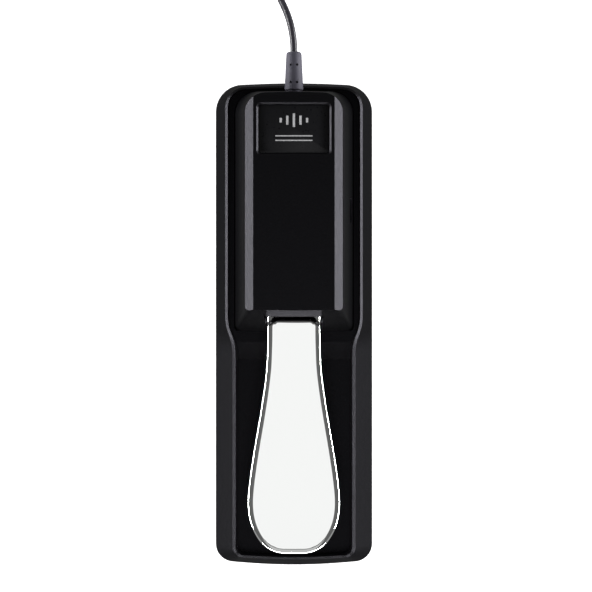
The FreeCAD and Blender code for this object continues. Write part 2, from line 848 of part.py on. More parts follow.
def make_pivot():
    """A steel U bracket, its pin, two flanged bushes in the lugs and a clip on the pin's end."""
    ear_outer = "(ear_inner + ear_thick)"
    base = box("bracket_base", ("-" + ear_outer, "pivot_along - bracket_long / 2", floor_level),
               ("2 * " + ear_outer, "bracket_long", "ear_thick"))
    ears = []
    for number, across in enumerate(("ear_inner", "-" + ear_outer)):
        web = box("bracket_ear_%d" % number, (across, "pivot_along - ear_long / 2", floor_level),
                  ("ear_thick", "ear_long", "pivot_level - " + floor_level))
        crown = cylinder("bracket_crown_%d" % number, (across, "pivot_along", "pivot_level"),
                         "ear_crown", "ear_thick", "X")
        ears += [web, crown]
    bore = cylinder("bracket_bore", (-30, "pivot_along", "pivot_level"), "pin_radius", 60, "X")
    holes = []
    for number, (across, along) in enumerate(BRACKET_SCREWS):
        holes.append(cylinder("bracket_hole_%d" % number, (across, along, 0), "screw_hole", 20))
    keep(cut("bracket", fused("bracket_blank", [base] + ears), [bore] + holes), "pivot_bracket")

    pin = cylinder("pin_rod", ("-" + ear_outer, "pivot_along", "pivot_level"), "pin_radius",
                   "2 * %s + pin_over" % ear_outer, "X")
    head = cylinder("pin_head", ("-%s - pin_head_thick" % ear_outer, "pivot_along", "pivot_level"),
                    "pin_head_radius", "pin_head_thick", "X")
    groove_at = (ear_outer + " + groove_gap", "pivot_along", "pivot_level")
    groove = cylinder("pin_groove_out", groove_at, "pin_radius + 1", "groove_width", "X")
    core = cylinder("pin_groove_in", groove_at, "groove_radius", "groove_width", "X")
    keep(cut("pin", fused("pin_blank", [pin, head]), [cut("pin_groove", groove, [core])]), "pivot_pin")

    clip_start = ear_outer + " + groove_gap + (groove_width - clip_thick) / 2"
    clip = cylinder("clip_disc", (clip_start, "pivot_along", "pivot_level"),
                    "clip_radius", "clip_thick", "X")
    eye = cylinder("clip_eye", (ear_outer, "pivot_along", "pivot_level"), "groove_radius", 2, "X")
    slot = box("clip_slot", (ear_outer, "pivot_along - clip_mouth / 2", "pivot_level - 6"),
               (2, "clip_mouth", 6))
    keep(cut("clip", clip, [eye, slot]), "pin_clip")

    for label, foot, flange in (
            ("pivot_bush_left", "-arm_half", "-arm_half - collar_thick"),
            ("pivot_bush_right", "arm_half - lug_thick", "arm_half")):
        sleeve = cylinder(label + "_sleeve", (foot, "pivot_along", "pivot_level"),
                          "sleeve_radius", "lug_thick", "X")
        collar = cylinder(label + "_collar", (flange, "pivot_along", "pivot_level"),
                          "eye_radius", "collar_thick", "X")
        hole = cylinder(label + "_hole", (-30, "pivot_along", "pivot_level"), "bush_bore", 60, "X")
        keep(cut(label + "_cut", fused(label + "_blank", [sleeve, collar]), [hole]), label)

    screws = []
    for number, (across, along) in enumerate(BRACKET_SCREWS):
        name = "bracket_screw_%d" % number
        shank = cylinder(name + "_shank", (across, along, "sole_thick"), "screw_radius",
                         "plate_thick + ear_thick")
        cap = cylinder(name + "_cap", (across, along, floor_level + " + ear_thick"),
                       "small_head_radius", "small_head_high")
        screws.append(fused(name, [shank, cap]))
    keep(group("bracket_screws_set", screws), "bracket_screws")


make_pivot()


# ---------------------------------------------------------------- return spring and stops

def make_spring():
    """The coil spring that lifts the treadle, its seat on the plate and its cup under the arm."""
    seat = cylinder("seat_disc", (0, "spring_along", floor_level), "seat_radius",
                    "spring_low - " + floor_level)
    guide = cylinder("seat_guide", (0, "spring_along", floor_level), "guide_radius", "guide_high")
    keep(fused("seat", [seat, guide]), "spring_seat")

    cup = cylinder("cup_disc", (0, "spring_along", "spring_high"), "cup_radius",
                   "arm_low - spring_high")
    nose = cylinder("cup_nose", (0, "spring_along", "arm_low - nose_long"), "nose_radius", "nose_long")
    keep(fused("cup", [cup, nose]), "spring_cup")

    wire = size("spring_wire")
    length = size("spring_high") - size("spring_low") - 2 * wire
    helix = Part.makeHelix(length / size("spring_turns"), length, size("spring_radius"))
    section = Part.Wire(Part.Circle(Vector(size("spring_radius"), 0, 0), Vector(0, 1, 0), wire).toShape())
    coil = Part.Wire(helix.Edges).makePipeShell([section], True, True)
    coil.Placement = Placement(Vector(0, size("spring_along"), size("spring_low") + wire), Rotation())
    thing = feature("return_spring", coil)
    thing.Placement = coil.Placement


def make_stops():
    """A rubber pad under the shelf stops the arm at rest; a post with a pad stops it when down."""
    body = new_body("upper_stop_pad")
    bind(body, Base_y="shelf_start + shelf_long / 2", Base_z="arm_high")
    blank = sketch(body, "upper_stop_outline")
    draw_rectangle(blank, "2 * shelf_half - pad_corner", "shelf_long - pad_corner")
    solid = pad(body, blank, "bump_low - arm_high")
    body.Tip = round_edges(body, solid, "pad_corner", is_upright)

    body = new_body("lower_stop_pad")
    bind(body, Base_y="stop_along", Base_z="stop_pad_high - stop_pad_thick")
    blank = sketch(body, "lower_stop_outline")
    draw_rectangle(blank, "2 * (stop_half - pad_corner)", "stop_long - pad_corner")
    solid = pad(body, blank, "stop_pad_thick")
    body.Tip = round_edges(body, solid, "pad_corner", is_upright)

    corner = ("-stop_half", "stop_along - stop_long / 2")
    foot = box("stop_foot", corner + (floor_level,), ("2 * stop_half", "stop_long", "stop_plate"))
    web = box("stop_web", corner + (floor_level,),
              ("2 * stop_half", "stop_plate", "stop_pad_high - stop_pad_thick - " + floor_level))
    table = box("stop_table", corner + ("stop_pad_high - stop_pad_thick - stop_plate",),
                ("2 * stop_half", "stop_long", "stop_plate"))
    keep(fused("stop", [foot, web, table]), "stop_post")


make_spring()
make_stops()


# ---------------------------------------------------------------- circuit board and its switch

BOARD_SCREWS = [(across, along) for across in ("-board_screw_across", "board_screw_across")
                for along in ("board_front + board_screw_inset", "board_rear - board_screw_inset")]


def make_board():
    """The circuit board on four pillars, with the momentary switch that the arm presses."""
    top = "(board_low + board_thick)"
    body = new_body("circuit_board")
    bind(body, Base_y="(board_front + board_rear) / 2", Base_z="board_low")
    blank = sketch(body, "board_outline")
    draw_rectangle(blank, "2 * board_half", "board_rear - board_front")
    solid = pad(body, blank, "board_thick")
    body.Tip = round_edges(body, solid, "pad_corner", is_upright)

    pillars = []
    screws = []
    for number, (across, along) in enumerate(BOARD_SCREWS):
        foot = (across, along, floor_level)
        pillars.append(cylinder("pillar_%d" % number, foot, "pillar_radius",
                                "board_low - " + floor_level))
        screws.append(cylinder("board_screw_%d" % number, (across, along, top),
                               "pillar_radius - 0.2", "small_head_high"))
    keep(group("pillars", pillars), "board_pillars")
    keep(group("board_screws_set", screws), "board_screws")

    case = box("switch_case", ("-switch_half", "switch_along - switch_width / 2", top),
               ("2 * switch_half", "switch_width", "switch_high - " + top))
    start = ("plunger_across - plunger_long / 2", "switch_along - plunger_wide / 2")
    spans = ("plunger_long", "plunger_wide", "plunger_high - switch_high + plunger_deep")
    well = box("switch_well", (start[0] + " - plunger_play", start[1] + " - plunger_play",
                               "switch_high - plunger_deep - 2.4"),
               (spans[0] + " + 2 * plunger_play", spans[1] + " + 2 * plunger_play", 6))
    keep(cut("microswitch", case, [well]), "microswitch_body")

    plunger = box("plunger_blank", start + ("switch_high - plunger_deep",), spans)
    doc.recompute()
    crown = doc.addObject("Part::Fillet", "plunger_crown")
    crown.Base = plunger
    high = plunger.Shape.BoundBox.ZMax
    crown.Edges = [(i + 1, 0.5, 0.5) for i, edge in enumerate(plunger.Shape.Edges)
                   if edge.BoundBox.ZMin > high - 0.01]
    keep(crown, "microswitch_plunger")


make_board()


# ---------------------------------------------------------------- polarity switch

def make_polarity_switch():
    """A slide switch behind the slot in the right-hand wall; its knob is moved by a fingertip."""
    case = box("slide_case", ("slide_start", "slot_along - slide_long / 2", "slot_level - slide_high / 2"),
               ("slide_deep", "slide_long", "slide_high"))
    track = box("slide_track", ("knob_start - 0.4", "slot_along - knob_travel - 0.4",
                                "slot_level - knob_slot_high / 2"),
                (3, "2 * knob_travel + 0.8", "knob_slot_high"))
    keep(cut("slide", case, [track]), "polarity_switch_body")

    stem = box("knob_stem", ("knob_start", "slot_along - knob_travel", "slot_level - knob_high / 2"),
               ("knob_reach", "knob_long", "knob_high"))
    keep(stem, "polarity_switch_knob")

    pins = []
    for number in (-1, 0, 1):
        middle = "slot_along + %d * slide_pin_pitch" % number
        pins.append(box("slide_pin_%d" % (number + 2),
                        ("slide_start - slide_pin_long", middle + " - 0.5", "slot_level - 0.25"),
                        ("slide_pin_long", 1, 0.5)))
    keep(group("slide_pins", pins), "polarity_switch_pins")


make_polarity_switch()


# ---------------------------------------------------------------- screws that close the case

def make_case_screws():
    """Self-tapping screws from below, with their heads sunk in the sole."""
    for label, across, rear, front, reach in (
            ("cover_screws", "cover_screw_across", "cover_screw_rear", "cover_screw_front",
             "cover_screw_reach"),
            ("base_screws", "base_screw_across", "base_screw_rear", "base_screw_front",
             "base_screw_reach")):
        screws = []
        for side in ("", "-"):
            for along in (rear, front):
                name = "%s_%d" % (label, len(screws))
                screws.append(screw(name, side + across, along, "sole_thick - head_sink",
                                    "head_radius", "sole_thick", "%s + %s" % (floor_level, reach)))
        keep(group(label + "_set", screws), label)


make_case_screws()


# ---------------------------------------------------------------- cable inside the case

def make_strain_relief():
    """The moulded rubber sleeve: a collar inside the rear wall, a neck and a tapered tail.

    The tail's wide end lies against the wall, so it is cut off along the wall's draft.
    """
    inner_end = (0, "relief_collar_start", "cord_level")
    collar = cylinder("relief_collar", inner_end, "relief_collar_radius", "relief_collar_thick", "Y")
    neck = cylinder("relief_neck", inner_end, "relief_neck_radius",
                    "relief_start + 0.1 - relief_collar_start", "Y")
    taper = cone("relief_taper", (0, "relief_start - 1", "cord_level"), "relief_wide_radius",
                 "relief_small_radius", "relief_end - relief_start + 1", "Y")
    wall = doc.addObject("Part::Feature", "relief_wall")
    wall.Shape = cover_solid(size("deck_top"), size("cover_top"), -0.05)
    tail = cut("relief_tail", taper, [wall])
    bore = cylinder("relief_bore", (0, 100, "cord_level"), "cord_radius + 0.02", 60, "Y")
    keep(cut("relief", fused("relief_blank", [collar, neck, tail]), [bore]), "strain_relief")


def make_cable_clamp():
    """A post and a saddle that grip the cable inside the rear wall, and their two screws."""
    middle = "clamp_start + clamp_long / 2"
    sides = ("-clamp_screw_across", "clamp_screw_across")

    def tools(name):
        """The cable's groove and the two screw holes."""
        groove = cylinder(name + "_groove", (0, 90, "cord_level"), "cord_radius", 30, "Y")
        holes = [cylinder("%s_hole_%d" % (name, number), (across, middle, "cord_level - 7"),
                          "screw_radius", 20) for number, across in enumerate(sides)]
        return [groove] + holes

    post = box("clamp_post_blank", ("-clamp_half", "clamp_start", floor_level),
               ("2 * clamp_half", "clamp_long", "cord_level - 0.6 - " + floor_level))
    keep(cut("clamp_post_cut", post, tools("post")), "cable_clamp_post")
    saddle = box("saddle_blank", ("-clamp_half", "clamp_start", "cord_level - 0.4"),
                 ("2 * clamp_half", "clamp_long", "saddle_high"))
    keep(cut("saddle_cut", saddle, tools("saddle")), "cable_clamp")

    screws = []
    for number, across in enumerate(sides):
        name = "clamp_screw_%d" % number
        shank = cylinder(name + "_shank", (across, middle, "cord_level - 6.5"), "screw_radius",
                         "6.1 + saddle_high")
        cap = cylinder(name + "_cap", (across, middle, "cord_level - 0.4 + saddle_high"),
                       "small_head_radius", "small_head_high")
        screws.append(fused(name, [shank, cap]))
    keep(group("clamp_screws_set", screws), "clamp_screws")


def make_wiring():
    """The cable's jacket inside the case, its three cores, and the leads to the slide switch."""
    keep(cylinder("jacket", (0, "jacket_start", "cord_level"), "cord_radius",
                  "relief_start - jacket_start", "Y"), "inner_cord")
    end = size("jacket_start")
    level = size("cord_level")
    high = size("board_low") + size("board_thick")
    for label, across in (("core_wire_red", -4.5), ("core_wire_black", 0.0), ("core_wire_white", 4.5)):
        start = 0.24 * across
        route = [(start, end, level), (start, end - 2.3, level + 1.4),
                 (across * 0.6, end - 3.1, level + 5.5), (across, end - 6.5, high + 3.0),
                 (across, end - 9.5, high + 2.4), (across, end - 10.3, high)]
        feature(label, tube(route, size("core_radius")))
    leads = []
    for number in (-1, 0, 1):
        along = size("slot_along") + size("slide_pin_pitch") * number
        landing = 9.5 - 0.2 * number
        ahead = along + 2.2 - 0.4 * number
        leads.append(tube([
            (size("slide_start") - size("slide_pin_long"), along, size("slot_level")),
            (14.4, along + 0.4, size("slot_level") + 2.6), (13.4, ahead - 1.0, high + 1.0),
            (11.6, ahead - 0.5, high + 2.2), (landing, ahead, high)], size("lead_radius")))
    feature("switch_leads", Part.makeCompound(leads))


make_strain_relief()
make_cable_clamp()
make_wiring()


# ---------------------------------------------------------------- free cable

LEAD_ROUTE = [
    (0.0, 117.1, 23.0),
    (0.0, 142.5, 23.0),
    (-2.4, 154.2, 19.4),
    (-6.9, 165.2, 11.2),
    (-12.3, 176.6, 3.9),
    (-17.0, 187.3, 1.95),
    (-19.6, 195.0, 2.45),
]

TAIL_ROUTE = [
    (-19.5, 211.55, 12.95),
    (-16.1, 220.9, 12.6),
    (-10.0, 229.0, 10.4),
    (-1.3, 234.9, 7.6),
    (9.0, 237.8, 5.9),
    (19.0, 238.0, 5.75),
]


def make_free_cable():
    """The cable lies in a drooping bend, then in a tied coil, and ends in its plug."""
    radius = size("cord_radius")
    feature("cord_lead", tube(LEAD_ROUTE, radius, "cord_lead"))
    feature("cord_tail", tube(TAIL_ROUTE, radius, "cord_tail"))

    half = size("coil_columns") * radius
    low = size("tie_thick")
    high = size("coil_rows") * 2 * radius
    centre = Vector(size("coil_across"), size("coil_along"), low)
    outer = Part.makeCylinder(size("coil_middle") + half, high, centre)
    inner = Part.makeCylinder(size("coil_middle") - half, high, centre)
    feature("cord_coil", outer.cut(inner))

    inside = size("coil_middle") - half - 0.55
    across = 2 * half + 0.6
    strap = Part.makeBox(across + 2 * low, 8.0, high + 2 * low, Vector(inside - low, -4.0, 0.0))
    bundle = Part.makeBox(across, 9.0, high, Vector(inside, -4.5, low))
    strap = strap.cut(bundle)
    thing = feature("cord_tie", strap)
    thing.Placement = Placement(Vector(centre.x, centre.y, 0.0), Rotation(Vector(0, 0, 1), -60))


def make_plug():
    """A quarter inch mono plug: bend guard, moulded grip, sleeve, insulating ring and tip."""
    start = ("plug_along", "plug_grip")

    def at(offset):
        return ("plug_across + %s" % offset,) + start

    grip_at = "guard_long"
    collar_at = grip_at + " + grip_long"
    ring_at = collar_at + " + plug_collar_long + plug_barrel_long"
    tip_at = ring_at + " + plug_ring_long"
    keep(cone("guard_blank", at(0), 2.6, 4.6, "guard_long", "X"), "plug_guard")
    keep(cylinder("grip_blank", at(grip_at), "plug_grip", "grip_long", "X"), "plug_grip")
    collar = cylinder("sleeve_collar", at(collar_at), 4.6, "plug_collar_long", "X")
    barrel = cylinder("sleeve_barrel", at(collar_at), "plug_sleeve",
                      "plug_collar_long + plug_barrel_long", "X")
    keep(fused("sleeve", [collar, barrel]), "plug_sleeve")
    keep(cylinder("ring_blank", at(ring_at), "plug_neck_radius", "plug_ring_long", "X"),
         "plug_insulator")
    neck = cone("tip_neck", at(tip_at), "plug_neck_radius", 2.1, 2.4, "X")
    shoulder = cone("tip_shoulder", at(tip_at + " + 2.4"), 2.1, "plug_sleeve", 1.6, "X")
    point = cone("tip_point", at(tip_at + " + 4.0"), "plug_sleeve", 1.0, 4.2, "X")
    keep(fused("tip", [neck, shoulder, point]), "plug_tip")


make_free_cable()
make_plug()


# ---------------------------------------------------------------- checks and files

def check_and_write():
    doc.recompute()
    for thing in doc.Objects:
        if "Invalid" in thing.State or "Error" in thing.State:
            raise ValueError("%s (%s) is %s" % (thing.Name, thing.Label, thing.State))
    os.makedirs("parts", exist_ok=True)
    for old in os.listdir("parts"):
        os.remove(os.path.join("parts", old))
    for thing in nodes:
        shape = thing.Shape
        if shape.isNull() or not shape.isValid() or not shape.Solids:
            raise ValueError(thing.Label + " has no valid solid")
        shape.exportStep("parts/%s.step" % thing.Label)
        box_of = shape.BoundBox
        print("%-24s solids %d  volume %9.1f  x %.1f %.1f  y %.1f %.1f  z %.2f %.2f" % (
            thing.Label, len(shape.Solids), shape.Volume, box_of.XMin, box_of.XMax,
            box_of.YMin, box_of.YMax, box_of.ZMin, box_of.ZMax))
    print(len(nodes), "nodes")


check_and_write()
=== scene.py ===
import math

import bmesh
import bpy
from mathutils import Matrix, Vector


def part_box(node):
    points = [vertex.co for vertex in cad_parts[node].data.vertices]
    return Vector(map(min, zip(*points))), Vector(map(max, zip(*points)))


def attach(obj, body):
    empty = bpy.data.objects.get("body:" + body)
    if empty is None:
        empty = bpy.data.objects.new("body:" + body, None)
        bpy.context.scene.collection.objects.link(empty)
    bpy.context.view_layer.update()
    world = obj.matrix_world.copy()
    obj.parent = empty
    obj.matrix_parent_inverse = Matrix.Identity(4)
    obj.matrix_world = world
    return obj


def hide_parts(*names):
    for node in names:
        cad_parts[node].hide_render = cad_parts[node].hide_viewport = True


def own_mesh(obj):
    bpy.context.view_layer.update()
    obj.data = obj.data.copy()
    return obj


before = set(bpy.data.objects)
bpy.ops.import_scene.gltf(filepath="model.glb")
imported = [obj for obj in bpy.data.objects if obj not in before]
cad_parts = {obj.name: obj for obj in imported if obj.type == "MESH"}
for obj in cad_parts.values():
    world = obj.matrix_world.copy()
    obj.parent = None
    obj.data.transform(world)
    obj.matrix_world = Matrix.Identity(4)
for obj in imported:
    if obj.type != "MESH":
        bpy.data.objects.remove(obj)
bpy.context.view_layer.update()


# ---- Camera ---------------------------------------------------------------------------------
# The pedal lies on the floor and is looked at from straight above, from a metre up.
# A long lens keeps the tall housing's walls almost upright.
CAMERA_PLACE = (0.00103, 0.0143, 1.0)
FILM_WIDTH = 36.0
LENS_LENGTH = 118.6
camera_data = bpy.data.cameras.new("camera")
camera_data.sensor_width = FILM_WIDTH
camera_data.lens = LENS_LENGTH
camera = bpy.data.objects.new("camera", camera_data)
camera.location = CAMERA_PLACE
bpy.context.scene.collection.objects.link(camera)
bpy.context.scene.camera = camera


# ---- Cable ----------------------------------------------------------------------------------
# A round three-core lead in black PVC, 3.5 mm across. It droops from the strain relief to the
# floor, and the rest of it is wound in a neat tied coil behind the pedal.
MM = 0.001


def start_fresh():
    """Leave edit mode and select nothing."""
    if bpy.context.object and bpy.context.object.mode != "OBJECT":
        bpy.ops.object.mode_set(mode="OBJECT")
    bpy.ops.object.select_all(action="DESELECT")


def set_shader(material, socket, value):
    material.node_tree.nodes["Principled BSDF"].inputs[socket].default_value = value


def new_material(name, colour, roughness, metallic=0.0, specular=0.5):
    material = bpy.data.materials.new(name)
    material.use_nodes = True
    set_shader(material, "Base Color", (*colour, 1.0))
    set_shader(material, "Roughness", roughness)
    set_shader(material, "Metallic", metallic)
    set_shader(material, "Specular IOR Level", specular)
    return material


def noise_of(material, scale, detail=3.0, stretch=(1.0, 1.0, 1.0)):
    """Noise on Object coordinates; scale is in cells per metre."""
    nodes = material.node_tree.nodes
    links = material.node_tree.links
    place = nodes.new("ShaderNodeTexCoord")
    mapping = nodes.new("ShaderNodeMapping")
    mapping.inputs["Scale"].default_value = stretch
    noise = nodes.new("ShaderNodeTexNoise")
    noise.inputs["Scale"].default_value = scale
    noise.inputs["Detail"].default_value = detail
    links.new(place.outputs["Object"], mapping.inputs["Vector"])
    links.new(mapping.outputs["Vector"], noise.inputs["Vector"])
    return noise.outputs["Fac"]


def add_grain(material, scale, depth, detail=3.0, stretch=(1.0, 1.0, 1.0)):
    """A fine raised grain; depth is in metres."""
    nodes = material.node_tree.nodes
    links = material.node_tree.links
    bump = nodes.new("ShaderNodeBump")
    bump.inputs["Strength"].default_value = 1.0
    bump.inputs["Distance"].default_value = depth
    links.new(noise_of(material, scale, detail, stretch), bump.inputs["Height"])
    links.new(bump.outputs["Normal"], nodes["Principled BSDF"].inputs["Normal"])


def add_mottle(material, socket, scale, low, high, detail=4.0):
    """Uneven colour or roughness, from low to high over a noise."""
    nodes = material.node_tree.nodes
    links = material.node_tree.links
    ramp = nodes.new("ShaderNodeValToRGB")
    for stop, position, value in zip(ramp.color_ramp.elements, (0.35, 0.65), (low, high)):
        colour = value if isinstance(value, tuple) else (value,) * 3
        stop.position = position
        stop.color = (*colour, 1.0)
    links.new(noise_of(material, scale, detail), ramp.inputs["Fac"])
    links.new(ramp.outputs["Color"], nodes["Principled BSDF"].inputs[socket])


CABLE_DIAMETER = 3.5 * MM
TIE_THICK = 0.7 * MM
COIL_CENTRE = (4.0 * MM, 203.0 * MM)
COIL_MIDDLE = 21.5 * MM
COIL_COLUMNS = 3
COIL_ROWS = 4
POINTS_PER_TURN = 16
LEADING_SHARE = 0.2
LEAD_ANGLE = math.radians(198.7)
TAIL_ANGLE = math.radians(160.0)
LEAD_ROUTE = [
    (0.0, 0.1171, 0.0230),
    (0.0, 0.1298, 0.0230),
    (0.0, 0.1425, 0.0230),
    (-0.0024, 0.1542, 0.0194),
    (-0.0069, 0.1652, 0.0112),
    (-0.0123, 0.1766, 0.0039),
    (-0.0170, 0.1873, 0.00195),
]
TAIL_ROUTE = [
    (-0.0161, 0.2209, 0.0126),
    (-0.0100, 0.2290, 0.0104),
    (-0.0013, 0.2349, 0.0076),
    (0.0090, 0.2378, 0.0059),
    (0.0190, 0.2380, 0.00575),
    (0.0310, 0.2380, 0.00575),
]


def eased(value, low, high):
    """From 0 at the low value to 1 at the high one, with a soft start and end."""
    share = min(1.0, max(0.0, (value - low) / (high - low)))
    return share * share * (3.0 - 2.0 * share)


def coil_route():
    """Clockwise turns, three beside each other and four rows high, in and out by turns.

    Each turn keeps its radius and level until its last fifth, which leads to the next one's.
    The points lie a little outside the curve, because the curve cuts its control points' corners.
    """
    count = COIL_COLUMNS * COIL_ROWS
    whole = count + (LEAD_ANGLE - TAIL_ANGLE) / math.tau
    steps = round(whole * POINTS_PER_TURN)
    widen = 1.0 / math.cos(0.5 * math.pi / POINTS_PER_TURN)
    places = []
    for turn in range(count):
        row, column = divmod(turn, COIL_COLUMNS)
        across = column if row % 2 else COIL_COLUMNS - 1 - column
        radius = COIL_MIDDLE + (across - COIL_COLUMNS // 2) * CABLE_DIAMETER
        places.append((radius, TIE_THICK + CABLE_DIAMETER * (row + 0.5)))
    places.append(places[-1])
    route = []
    for step in range(steps + 1):
        along = step / steps * whole
        turn = min(int(along), count - 1)
        share = eased(along - turn, 1.0 - LEADING_SHARE, 1.0)
        radius = places[turn][0] * (1.0 - share) + places[turn + 1][0] * share
        level = places[turn][1] * (1.0 - share) + places[turn + 1][1] * share
        angle = LEAD_ANGLE - along * math.tau
        route.append((COIL_CENTRE[0] + widen * radius * math.cos(angle),
                      COIL_CENTRE[1] + widen * radius * math.sin(angle), level))
    return route


start_fresh()
cable_route = LEAD_ROUTE + coil_route() + TAIL_ROUTE
cable_curve = bpy.data.curves.new("cable", "CURVE")
cable_curve.dimensions = "3D"
cable_curve.resolution_u = 6
cable_curve.bevel_depth = CABLE_DIAMETER / 2.0
cable_curve.bevel_resolution = 7
cable_curve.use_fill_caps = True
spline = cable_curve.splines.new("NURBS")
spline.points.add(len(cable_route) - 1)
for point, place in zip(spline.points, cable_route):
    point.co = (*place, 1.0)
spline.order_u = 3
spline.use_endpoint_u = True
cable = bpy.data.objects.new("cable", cable_curve)
bpy.context.scene.collection.objects.link(cable)

cable_pvc = new_material("cable_pvc", (0.022, 0.021, 0.027), 0.34, specular=0.42)
add_mottle(cable_pvc, "Roughness", 900.0, 0.28, 0.42)
add_grain(cable_pvc, 2600.0, 0.000006)
cable_curve.materials.append(cable_pvc)
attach(cable, "case")
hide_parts("cord_lead", "cord_coil", "cord_tail")


# ---- Strain relief --------------------------------------------------------------------------
# A tapered sleeve of soft PVC, moulded round the cable. Four vent dimples let the real sleeve
# bend, but this one stays straight. A collar holds it in the housing's rear wall.
def activate(thing):
    start_fresh()
    thing.select_set(True)
    bpy.context.view_layer.objects.active = thing


def to_edit(thing, select="SELECT"):
    activate(thing)
    bpy.ops.object.mode_set(mode="EDIT")
    bpy.ops.mesh.select_mode(type="VERT")
    bpy.ops.mesh.select_all(action=select)


def to_object():
    bpy.ops.object.mode_set(mode="OBJECT")


def finish_modifiers(thing):
    activate(thing)
    for modifier in list(thing.modifiers):
        bpy.ops.object.modifier_apply(modifier=modifier.name)


def place_in_mesh(thing, smooth_angle=35.0):
    """Put the piece's place in its mesh and shade it smooth except over sharp edges."""
    activate(thing)
    bpy.ops.object.transform_apply(location=True, rotation=True, scale=True)
    bpy.ops.object.shade_smooth_by_angle(angle=math.radians(smooth_angle))


def add_modifier(thing, kind, **settings):
    modifier = thing.modifiers.new(kind.lower(), kind)
    for name, value in settings.items():
        setattr(modifier, name, value)


def turned(name, profile, axis_point, axis, steps=48):
    """A piece turned on a lathe: the profile's points are (along the axis, radius)."""
    start_fresh()
    along = Vector(axis)
    out = Vector((0.0, 0.0, 1.0)) if abs(along.z) < 0.5 else Vector((1.0, 0.0, 0.0))
    base = Vector(axis_point)
    places = [base + along * distance + out * radius for distance, radius in profile]
    bpy.ops.mesh.primitive_plane_add(size=0.001, location=places[0])
    thing = bpy.context.object
    thing.name = name
    bpy.ops.object.transform_apply(location=True)
    to_edit(thing)
    bpy.ops.mesh.merge(type="CENTER")
    for before, after in zip(places, places[1:]):
        bpy.ops.mesh.extrude_region_move(TRANSFORM_OT_translate={"value": after - before})
    bpy.ops.mesh.select_all(action="SELECT")
    bpy.ops.mesh.spin(steps=steps, angle=math.tau, center=base, axis=along)
    bpy.ops.mesh.select_all(action="SELECT")
    bpy.ops.mesh.remove_doubles(threshold=0.000005)
    bpy.ops.mesh.normals_make_consistent(inside=False)
    to_object()
    return thing


def carve(thing, cutters):
    """Cut the cutters out of the piece and throw them away."""
    for cutter in cutters:
        add_modifier(thing, "BOOLEAN", operation="DIFFERENCE", object=cutter, solver="EXACT")
        finish_modifiers(thing)
        bpy.data.objects.remove(cutter)


CABLE_LEVEL = 23.0 * MM
CABLE_BORE = 1.76 * MM
DIMPLE_RADIUS = 0.62 * MM
DIMPLE_ACROSS = 1.6 * MM
DIMPLE_TOOL_LONG = 4.0 * MM
DIMPLE_TOOL_LEVEL = 27.8 * MM
relief_low, relief_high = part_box("strain_relief")
collar = relief_low.y
sleeve_start = LEAD_ROUTE[0][1]
sleeve_end = relief_high.y
relief = turned("relief", [
    (collar, CABLE_BORE), (collar, 4.3 * MM), (collar + 0.5 * MM, 4.8 * MM),
    (collar + 1.7 * MM, 4.8 * MM), (collar + 2.2 * MM, 4.3 * MM), (collar + 2.3 * MM, 3.35 * MM),
    (sleeve_start, 3.35 * MM), (sleeve_start + 0.1 * MM, 4.1 * MM), (sleeve_start + 0.5 * MM, 4.55 * MM),
    (sleeve_start + 1.1 * MM, 4.64 * MM), (sleeve_end - 1.6 * MM, 3.88 * MM),
    (sleeve_end - 0.7 * MM, 3.72 * MM), (sleeve_end - 0.2 * MM, 3.35 * MM), (sleeve_end, 2.8 * MM),
    (sleeve_end, 2.3 * MM), (sleeve_end - 0.6 * MM, CABLE_BORE), (collar, CABLE_BORE),
], (0.0, 0.0, CABLE_LEVEL), (0.0, 1.0, 0.0), steps=64)
dimples = []
for dimple_along in (sleeve_start + 4.0 * MM, sleeve_start + 12.7 * MM):
    for dimple_across in (-DIMPLE_ACROSS, DIMPLE_ACROSS):
        start_fresh()
        bpy.ops.mesh.primitive_cylinder_add(vertices=20, radius=DIMPLE_RADIUS, depth=DIMPLE_TOOL_LONG,
                                            location=(dimple_across, dimple_along, DIMPLE_TOOL_LEVEL))
        dimples.append(bpy.context.object)
carve(relief, dimples)
place_in_mesh(relief)
relief_pvc = new_material("relief_pvc", (0.058, 0.056, 0.072), 0.6, specular=0.15)
add_mottle(relief_pvc, "Roughness", 500.0, 0.54, 0.66)
add_grain(relief_pvc, 1800.0, 0.00002)
relief.data.materials.append(relief_pvc)
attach(relief, "case")
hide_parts("strain_relief")


# ---- Cable tie ------------------------------------------------------------------------------
# A woven hook-and-loop strap, wrapped once round the coil's bundle of turns.
def choose_edges(thing, rule):
    """Go into edit mode with the edges selected whose two ends fit the rule."""
    to_edit(thing, "DESELECT")
    bpy.ops.mesh.select_mode(type="EDGE")
    to_object()
    for edge in thing.data.edges:
        first, second = (thing.data.vertices[i].co for i in edge.vertices)
        edge.select = rule(first, second)
    bpy.ops.object.mode_set(mode="EDIT")


TIE_TURN = math.radians(-60.0)
TIE_WIDTH = 8.0 * MM
TIE_CORNER = 2.4 * MM
TIE_SLACK = 0.6 * MM
TIE_INSIDE = 0.55 * MM
bundle_inner = COIL_MIDDLE - COIL_COLUMNS / 2.0 * CABLE_DIAMETER - TIE_INSIDE
bundle_across = COIL_COLUMNS * CABLE_DIAMETER + TIE_SLACK
bundle_high = COIL_ROWS * CABLE_DIAMETER
start_fresh()
bpy.ops.mesh.primitive_cube_add(size=1.0, location=(
    bundle_inner + bundle_across / 2.0, 0.0, TIE_THICK + bundle_high / 2.0))
tie = bpy.context.object
tie.name = "cable_tie"
tie.scale = (bundle_across + TIE_THICK, TIE_WIDTH, bundle_high + TIE_THICK)
bpy.ops.object.transform_apply(location=True, scale=True)
band = bmesh.new()
band.from_mesh(tie.data)
ends = [face for face in band.faces if abs(face.normal.y) > 0.9]
bmesh.ops.delete(band, geom=ends, context="FACES_ONLY")
band.to_mesh(tie.data)
band.free()
choose_edges(tie, lambda first, second: abs(first.y - second.y) > 0.5 * TIE_WIDTH)
